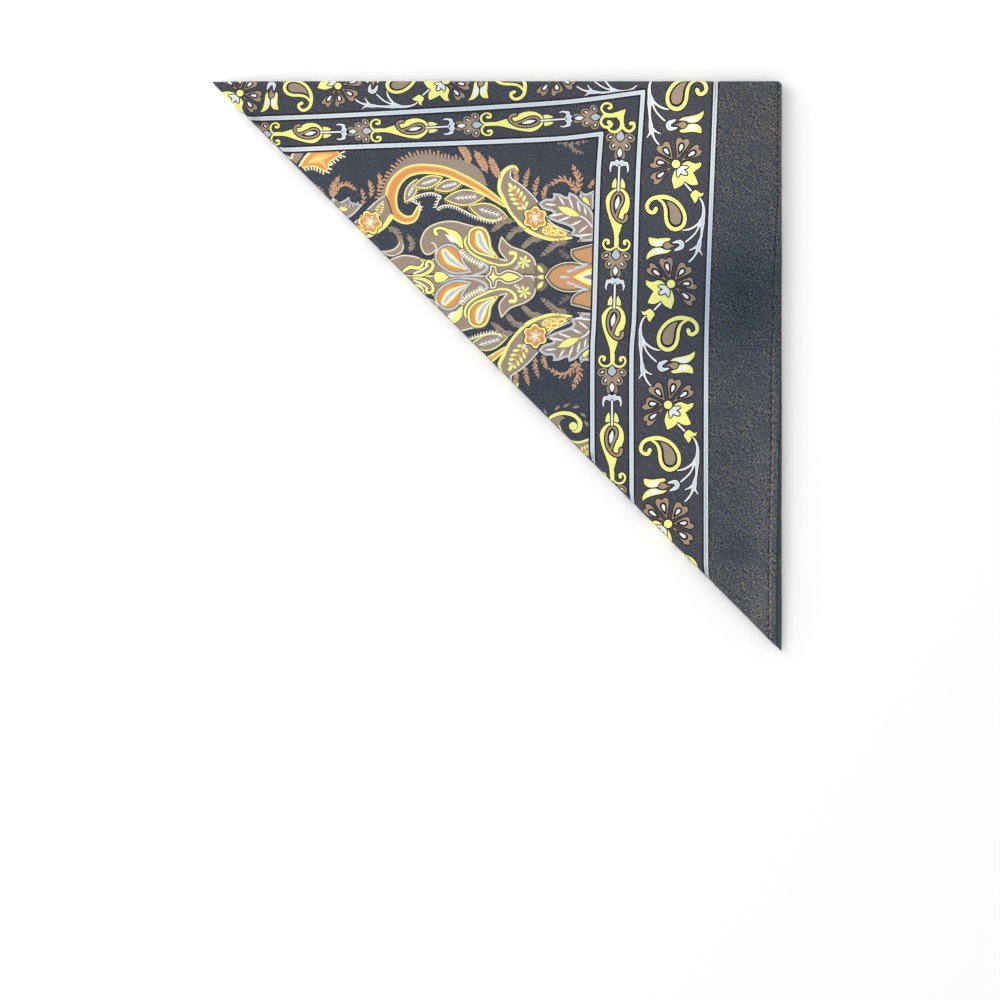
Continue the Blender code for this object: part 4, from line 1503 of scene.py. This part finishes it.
def under_top(x, y):
    """The upper side of the second stretch, just under the face."""
    inward = face_edge(y) - x
    hem = 1 - smooth((inward - HEM_WIDTH) / HEM_STEP)
    wall = CLOTH + (HEM_WALL - CLOTH) * hem
    return stack_height(x, y) + crease_rise(x, y, PRESSED_THROUGH) - wall - SEAM_GAP


def wander(y, seed, size):
    """A slow uneven wandering along an edge."""
    return size * (np.sin(y / 0.0134 + seed) + 0.6 * np.sin(y / 0.0051 + 2.3 * seed)) / 1.6


def layer_sheet(name, wall, start, in_fold, in_lip, in_hem, middle, seed, columns):
    """One stretch inside the packet: a triangle with rounded rims, set in at its three sides.
    It starts this far from corner A, and middle(x, y) gives the height of its wall's middle."""
    plain = np.linspace(-HALF + start + 0.002, HALF - 0.004, 84)
    stations = [-HALF + start + mark for mark in RIM_MARKS] + list(plain)
    stations += [HALF - mark for mark in (0.0026, 0.0014, *RIM_MARKS[::-1])]
    inner = np.linspace(0, 1, columns)[1:-1]
    edge = len(RIM_MARKS)

    def place(i, j):
        run = stations[i]
        high = HALF - in_lip - wander(run, seed + 4.0, LIP_SWAY)
        low = min(-run + in_fold * sqrt(2), high - 0.0002)
        squeeze = min(1.0, (high - low) / RIM_ROOM)
        if j < edge:
            y, rim = low + RIM_MARKS[j] * squeeze, RIM_SHARE[j]
        elif j < edge + len(inner):
            y, rim = low + (high - low) * (0.02 + 0.96 * inner[j - edge]), 1.0
        else:
            k = 2 * edge + len(inner) - 1 - j
            y, rim = high - RIM_MARKS[k] * squeeze, RIM_SHARE[k]
        lean = smooth((run - HALF + HEM_EASE) / HEM_EASE)
        x = run - (in_hem(y) + wander(y, seed, HEM_SWAY)) * lean
        y = max(y, -x + 0.00002)
        side = min(len(stations) - 1 - i, i)
        share = min(rim, RIM_SHARE[side] if side < edge else 1.0)
        return (x, y, float(middle(np.array(x), np.array(y)))), share

    return grid_sheet(name, len(stations), 2 * edge + len(inner), place, wall)


def make_under_hem():
    def middle(x, y):
        ripple = 0.00006 * np.sin(tau * y / 0.0052 + 1.5 * np.sin(y / 0.009))
        near = np.exp(-(((x - HALF + 0.0012) / 0.0012) ** 2))
        return under_top(x, y) - UNDER_CLOTH / 2 + ripple * near - 0.00004

    return layer_sheet("under_hem", UNDER_CLOTH, start=0.0195, in_fold=0.0001, in_lip=0.0016,
                       in_hem=lambda y: 0.00002, middle=middle, seed=0.7, columns=18)


INNER_WALL = 0.00034
INNER_CLEAR = 0.0001  # what stays free above and below the inner folds
INNER_FOLDS = [  # (share of the height, set in at the long fold, folded edge, hem)
    (0.14, 0.0022, 0.0011, 0.0008),
    (0.38, 0.0019, 0.0008, 0.0005),
    (0.62, 0.0020, 0.0013, 0.0009),
    (0.86, 0.0023, 0.0010, 0.0006),
]


def make_inner_fold(number, share, in_fold, in_lip, hem):
    def middle(x, y):
        low = CLOTH + INNER_CLEAR
        high = under_top(x, y) - UNDER_CLOTH - INNER_CLEAR
        return low + (high - low) * share

    def in_hem(y):
        return HALF - float(face_edge(y)) + hem

    return layer_sheet(f"inner_fold_{number}", INNER_WALL, start=0.030, in_fold=in_fold, in_lip=in_lip,
                       in_hem=in_hem, middle=middle, seed=1.9 * number, columns=10)


# ---------------------------------------------------------------- shader helpers
def fill(tree, made, inputs):
    """Give a node its inputs: values, or sockets to link."""
    for name, value in inputs.items():
        socket = made.inputs[name]
        if isinstance(value, bpy.types.NodeSocket):
            tree.links.new(value, socket)
        else:
            socket.default_value = value


def add_node(tree, kind, inputs=None, **settings):
    """A node with its settings and inputs."""
    made = tree.nodes.new(kind)
    for name, value in settings.items():
        setattr(made, name, value)
    fill(tree, made, inputs or {})
    return made


def calc(tree, operation, first, second=0.0, third=0.0, clamp=False):
    """One step of arithmetic."""
    inputs = {0: first, 1: second, 2: third}
    return add_node(tree, "ShaderNodeMath", inputs, operation=operation, use_clamp=clamp).outputs[0]


def scaled(tree, vector, scale):
    inputs = {0: vector, "Scale": scale}
    return add_node(tree, "ShaderNodeVectorMath", inputs, operation="SCALE").outputs[0]


def ranged(tree, value, low, high, to_low=0.0, to_high=1.0):
    """The value taken from one range to another, and kept inside it."""
    inputs = {"Value": value, "From Min": low, "From Max": high, "To Min": to_low, "To Max": to_high}
    return add_node(tree, "ShaderNodeMapRange", inputs, clamp=True).outputs[0]


def noise(tree, place, scale, detail, roughness=0.5):
    inputs = {"Vector": place, "Scale": scale, "Detail": detail, "Roughness": roughness}
    return add_node(tree, "ShaderNodeTexNoise", inputs).outputs[0]


MIX_FACTOR, MIX_A, MIX_B, MIX_RESULT = 0, 6, 7, 2  # a mix node's sockets for colours


def mix(tree, factor, first, second):
    """Two colours mixed."""
    inputs = {MIX_FACTOR: factor, MIX_A: first, MIX_B: second}
    return add_node(tree, "ShaderNodeMix", inputs, data_type="RGBA").outputs[MIX_RESULT]


def bump_at(tree, value, middle, width):
    """1 at the middle and falling off smoothly on both sides, like a bell."""
    off = calc(tree, "DIVIDE", calc(tree, "SUBTRACT", value, middle), width)
    return calc(tree, "EXPONENT", calc(tree, "MULTIPLY", calc(tree, "MULTIPLY", off, off), -1.0))


def attribute(tree, name, output="Fac"):
    return add_node(tree, "ShaderNodeAttribute", attribute_name=name).outputs[output]


def flat_place(tree):
    """The place on the flat cloth, in metres, from the cloth's own map."""
    return scaled(tree, add_node(tree, "ShaderNodeUVMap", uv_map="OFBake").outputs[0], 2 * UV_HALF)


def object_place(tree):
    return add_node(tree, "ShaderNodeTexCoord").outputs["Object"]


FLOAT = "NodeSocketFloat"


def new_group(kind, name, inputs, outputs):
    """A group of nodes with its sockets, the first as (label, kind, default)."""
    group = bpy.data.node_groups.new(name, kind)
    for label, socket_type, default in inputs:
        socket = group.interface.new_socket(label, in_out="INPUT", socket_type=socket_type)
        if default is not None:
            socket.default_value = default
    for label, socket_type in outputs:
        group.interface.new_socket(label, in_out="OUTPUT", socket_type=socket_type)
    return group, group.nodes.new("NodeGroupInput"), group.nodes.new("NodeGroupOutput")


def new_material(name, inputs):
    """A material with its shader's inputs, and the tree and the shader to build on."""
    material = bpy.data.materials.new(name)
    material.use_nodes = True
    tree = material.node_tree
    shader = tree.nodes["Principled BSDF"]
    fill(tree, shader, inputs)
    return material, tree, shader


# ---------------------------------------------------------------- the cloth's weave and inks
TWILL_PITCH = 0.00098
TWILL_SLANT = radians(37)
WEAVE = ("Line", "Fleck", "Blotch", "Patch", "Hue")  # what the weave tells the yarns
KHAKI, NAVY = (129, 127, 119), (24, 29, 42)  # the grains of yarn, light and dark


def twill_group():
    """Slanting lines of a twill weave with uneven yarns. Place is in metres on the cloth."""
    group, given, result = new_group(
        "ShaderNodeTree", "twill weave",
        [("Place", "NodeSocketVector", None), ("Line pitch", FLOAT, TWILL_PITCH),
         ("Slant", FLOAT, TWILL_SLANT)],
        [(label, FLOAT) for label in (*WEAVE, "Height")],
    )
    place, pitch = given.outputs["Place"], given.outputs["Line pitch"]
    slanted = add_node(group, "ShaderNodeVectorRotate", {"Vector": place, "Angle": given.outputs["Slant"]},
                       rotation_type="Z_AXIS").outputs[0]
    parts = add_node(group, "ShaderNodeSeparateXYZ", {0: slanted})

    def wave(turns):
        swing = calc(group, "SINE", calc(group, "MULTIPLY", turns, tau))
        return calc(group, "MULTIPLY_ADD", swing, 0.5, 0.5)

    shift = calc(group, "MULTIPLY", calc(group, "SUBTRACT", noise(group, place, 420.0, 2.0), 0.5), 1.1)
    turns = calc(group, "ADD", calc(group, "DIVIDE", parts.outputs[0], pitch), shift)
    along = calc(group, "DIVIDE", parts.outputs[1], calc(group, "MULTIPLY", pitch, 1.25))
    line, knot = wave(turns), wave(calc(group, "ADD", along, calc(group, "MULTIPLY", turns, 0.5)))
    raised = calc(group, "MULTIPLY_ADD", knot, 0.35, calc(group, "MULTIPLY", line, 0.65))
    stretched = add_node(group, "ShaderNodeMapping", {"Vector": slanted, "Scale": (1750.0, 800.0, 1.0)})
    fleck = noise(group, stretched.outputs[0], 1.0, 1.0)
    fill(group, result, {
        "Line": line,
        "Fleck": fleck,
        "Blotch": noise(group, place, 85.0, 4.0, 0.6),
        "Patch": noise(group, place, 140.0, 1.0),
        "Hue": noise(group, place, 900.0, 1.0),
        "Height": calc(group, "MULTIPLY_ADD", fleck, 0.5, raised),
    })
    return group


def yarn_group():
    """Light khaki and dark navy grains of yarn that show through an ink: most where the cloth
    is bare, hardly where the ink is bright."""
    group, given, result = new_group(
        "ShaderNodeTree", "uneven yarns",
        [("Colour", "NodeSocketColor", None), *((label, FLOAT, 0.5) for label in WEAVE),
         ("Warmth", FLOAT, 0.0), ("Light", FLOAT, 0.0), ("Bareness", FLOAT, 1.0)],
        [("Colour", "NodeSocketColor")],
    )
    grey = add_node(group, "ShaderNodeRGBToBW", {0: given.outputs["Colour"]}).outputs[0]
    dark = ranged(group, grey, 0.05, 0.20, 1.0, 0.15)

    def centred(name, strength):
        return calc(group, "MULTIPLY", calc(group, "SUBTRACT", given.outputs[name], 0.5), strength)

    # the weave shows in some places and is calm in others
    relief = calc(group, "ADD", centred("Fleck", 4.7), centred("Line", 1.3))
    relief = calc(group, "MULTIPLY", relief, calc(group, "ADD", 1.0, centred("Patch", 2.6)))
    grain = calc(group, "ADD", relief, centred("Blotch", 0.6))
    grain = calc(group, "MULTIPLY", grain, calc(group, "MULTIPLY", given.outputs["Bareness"], dark))
    coloured = given.outputs["Colour"]
    for strength, yarn in ((0.75, KHAKI), (-0.85, NAVY)):
        coloured = mix(group, calc(group, "MULTIPLY", grain, strength, clamp=True), coloured, paint(yarn))
    warmth = calc(group, "ADD", given.outputs["Warmth"], calc(group, "MULTIPLY", centred("Hue", 6.5), dark))
    tint = add_node(group, "ShaderNodeCombineXYZ", {
        axis: calc(group, "MULTIPLY_ADD", warmth, share, 1.0)
        for axis, share in enumerate((0.11, 0.01, -0.12))})
    tinted = add_node(group, "ShaderNodeVectorMath", {0: coloured, 1: tint.outputs[0]},
                      operation="MULTIPLY")
    # Light brightens or darkens the colour: painted light and shade, partly the cloth's own tone
    bright = calc(group, "ADD", calc(group, "ADD", 1.0, given.outputs["Light"]), centred("Fleck", 0.25))
    fill(group, result, {"Colour": scaled(group, tinted.outputs[0], bright)})
    return group


TWILL = twill_group()
YARNS = yarn_group()
CLOTH_BUMP = 0.00010
CLOTH_SHADER = {"Roughness": 0.88, "Sheen Weight": 0.03, "Sheen Roughness": 0.6, "Specular IOR Level": 0.18}


def cloth_material(name, ink, place_of):
    """Printed twill. ink(tree, weave) gives the colour with its painted light and shade, warmth and
    bareness, and place_of(tree) the place on the cloth."""
    material, tree, shader = new_material(name, CLOTH_SHADER)
    weave = add_node(tree, "ShaderNodeGroup", {"Place": place_of(tree)}, node_tree=TWILL)
    inked = dict(zip(("Colour", "Light", "Warmth", "Bareness"), ink(tree, weave)))
    woven = {label: weave.outputs[label] for label in WEAVE}
    yarns = add_node(tree, "ShaderNodeGroup", {**inked, **woven}, node_tree=YARNS)
    lift = add_node(tree, "ShaderNodeBump", {"Height": weave.outputs["Height"], "Distance": CLOTH_BUMP})
    fill(tree, shader, {"Base Color": yarns.outputs["Colour"], "Normal": lift.outputs[0]})
    return material


SEAM_SHADE_HALF_WIDTH = 0.00036  # half the width of the painted shade in the groove that the sewing pulls in
SEAM_SHADE_STRENGTH = 0.95
SEAM_SHADE_COLOUR = (12, 17, 36)
HIGHLIGHT_WEAR_PLACE = 0.00068  # where the hem's painted highlights and wear lie, right of the stitches
HIGHLIGHT_WEAR_WIDTH = 0.00045
HIGHLIGHT_WEAR_PHASE = 0.62  # and where between one stitch and the next
HIGHLIGHT_WEAR_LENGTH = 0.22  # as a share of the way from one to the next
HIGHLIGHT_WEAR_STRENGTH = 0.85
# the pale khaki of the painted highlights and the wear
HIGHLIGHT_WEAR_COLOUR = (150, 142, 120)


def printed_ink(tree, weave):
    """The print's own colour, with the painted shade in the seam's groove and the hem's pale spots, painted
    highlights with some wear.
    """
    from_stitch = attribute(tree, "from_stitch")
    # one pale spot between each two stitches, a painted highlight on the raised cloth there, and a few worn
    # ones where the weave happens to be pale
    along = add_node(tree, "ShaderNodeSeparateXYZ", {0: flat_place(tree)}).outputs[1]
    count = calc(tree, "DIVIDE", calc(tree, "SUBTRACT", HALF - STITCH_FROM, along), STITCH_PITCH)
    between = bump_at(tree, calc(tree, "FRACT", count), HIGHLIGHT_WEAR_PHASE, HIGHLIGHT_WEAR_LENGTH)
    pale = calc(tree, "MULTIPLY", ranged(tree, weave.outputs["Fleck"], 0.48, 0.60), 0.55)
    spots = calc(tree, "MAXIMUM", between, pale)
    highlight_and_wear = calc(tree, "MULTIPLY", bump_at(tree, from_stitch, HIGHLIGHT_WEAR_PLACE, HIGHLIGHT_WEAR_WIDTH),
                attribute(tree, "highlight_and_wear"))
    highlight_and_wear_mark = calc(tree, "MULTIPLY", calc(tree, "MULTIPLY", spots, highlight_and_wear), HIGHLIGHT_WEAR_STRENGTH)
    # painted shade along the seam's groove
    groove_shade = calc(tree, "MULTIPLY", bump_at(tree, from_stitch, 0.0, SEAM_SHADE_HALF_WIDTH), SEAM_SHADE_STRENGTH)
    colour = mix(tree, highlight_and_wear_mark, attribute(tree, "ink", "Color"), paint(HIGHLIGHT_WEAR_COLOUR))
    colour = mix(tree, groove_shade, colour, paint(SEAM_SHADE_COLOUR))
    return colour, attribute(tree, "light"), attribute(tree, "warmth"), attribute(tree, "bareness")


def plain_ink(colour, warmth):
    """One colour all over, with no patches."""
    return lambda tree, weave: (paint(colour), 0.0, warmth, 0.6)


def thread_material():
    material, tree, shader = new_material("hem_thread", {"Roughness": 0.7})
    strands = noise(tree, object_place(tree), 2600.0, 2.0)
    lift = add_node(tree, "ShaderNodeBump", {"Height": strands, "Distance": 0.00005})
    colour = mix(tree, strands, paint((5, 8, 22)), paint((16, 22, 44)))
    fill(tree, shader, {"Base Color": colour, "Normal": lift.outputs[0]})
    return material


# ---------------------------------------------------------------- the row of stitches
def stitch_tree(material):
    """Stitches along a line: one small rounded thread on each point, a little uneven."""
    shape_kind = "NodeSocketGeometry"
    tree, given, result = new_group(
        "GeometryNodeTree", "stitches",
        [("Geometry", shape_kind, None), ("Pitch", FLOAT, STITCH_PITCH), ("Length", FLOAT, STITCH_LENGTH),
         ("Width", FLOAT, STITCH_WIDTH)],
        [("Geometry", shape_kind)],
    )
    line, pitch, length, width = given.outputs[:4]
    curve = add_node(tree, "GeometryNodeMeshToCurve", {"Mesh": line})
    spaced = add_node(tree, "GeometryNodeResampleCurve", {"Curve": curve.outputs[0], "Length": pitch},
                      mode="LENGTH")
    tangent = add_node(tree, "GeometryNodeInputTangent")
    heading = add_node(tree, "FunctionNodeAlignEulerToVector", {"Vector": tangent.outputs[0]}, axis="X")
    thread = add_node(tree, "GeometryNodeMeshUVSphere", {"Segments": 8, "Rings": 6, "Radius": 0.5})
    stretched = add_node(tree, "ShaderNodeCombineXYZ", {0: length, 1: width, 2: width})
    uneven = add_node(tree, "FunctionNodeRandomValue", {2: 0.75, 3: 1.2, "Seed": 7}, data_type="FLOAT")
    size = scaled(tree, stretched.outputs[0], uneven.outputs[1])
    placed = add_node(tree, "GeometryNodeInstanceOnPoints", {
        "Points": spaced.outputs[0], "Instance": thread.outputs[0], "Rotation": heading.outputs[0],
        "Scale": size})
    real = add_node(tree, "GeometryNodeRealizeInstances", {"Geometry": placed.outputs[0]})
    dressed = add_node(tree, "GeometryNodeSetMaterial", {"Geometry": real.outputs[0], "Material": material})
    fill(tree, result, {0: dressed.outputs[0]})
    return tree


def make_hem_stitches(material):
    y = np.arange(HALF - STITCH_FROM, -HALF + STITCHES_TO, -0.0012)
    x = stitch_x(y)
    z = face_top(x, y) - 0.00002
    mesh = bpy.data.meshes.new("hem_stitches")
    mesh.from_pydata(np.stack([x, y, z], 1).tolist(), [(k, k + 1) for k in range(len(y) - 1)], [])
    piece = add_object("hem_stitches", mesh)
    piece.modifiers.new("sewing", "NODES").node_group = stitch_tree(material)
    return finished(piece)


# ---------------------------------------------------------------- floor, light and camera
def make_floor():
    bpy.ops.mesh.primitive_plane_add(size=6.0, location=(0, 0, -0.0001))
    floor = bpy.context.object
    floor.name = "floor"
    pale = {"Base Color": (0.93, 0.93, 0.93, 1), "Roughness": 0.9, "Specular IOR Level": 0.1}
    floor.data.materials.append(new_material("pale_floor", pale)[0])


def make_light():
    world = bpy.data.worlds.new("studio")
    bpy.context.scene.world = world
    world.use_nodes = True
    background = world.node_tree.nodes["Background"]
    fill(world.node_tree, background, {"Color": (1.0, 1.0, 1.0, 1), "Strength": 0.92})
    lamp = bpy.data.lights.new("window", "AREA")
    lamp.shape = "DISK"
    lamp.size = 1.1
    lamp.energy = 11.0
    holder = add_object("window", lamp)
    holder.location = (-1.12, 0.74, 0.85)
    holder.rotation_euler = holder.location.to_track_quat("Z", "Y").to_euler()


PHOTO_WIDTH = 0.4553  # what the photograph shows from side to side, in metres
CAMERA_HEIGHT = 2.6
SENSOR = 36.0


def make_camera():
    camera = bpy.data.cameras.new("camera")
    camera.sensor_width = SENSOR
    camera.lens = SENSOR * (CAMERA_HEIGHT - STACK) / PHOTO_WIDTH
    holder = add_object("camera", camera)
    holder.location = (0.0016, -0.0608, CAMERA_HEIGHT)
    bpy.context.scene.camera = holder
    bpy.context.scene.view_settings.view_transform = "Standard"


# ---------------------------------------------------------------- the scene
def main():
    make_camera()
    make_light()
    make_floor()
    printed = cloth_material("printed_cotton", printed_ink, flat_place)
    teal = cloth_material("under_cotton", plain_ink((71, 81, 88), -0.2), object_place)
    inner = cloth_material("inner_cotton", plain_ink((70, 72, 82), 0.1), object_place)
    thread = thread_material()

    cloth = make_printed_cloth()
    cloth.data.materials.append(printed)
    under = make_under_hem()
    under.data.materials.append(teal)
    folds = [make_inner_fold(number, *row) for number, row in enumerate(INNER_FOLDS, 1)]
    stitches = make_hem_stitches(thread)

    for piece, node, slot in ((cloth, "outer_fold", "printed_cotton"),
                              (under, "under_stretch", "under_cotton")):
        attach(piece, "root")
        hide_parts(node)
    for fold in folds:
        fold.data.materials.append(inner)
        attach(fold, "root")
        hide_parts("inner_layers")
    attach(stitches, "root")


main()
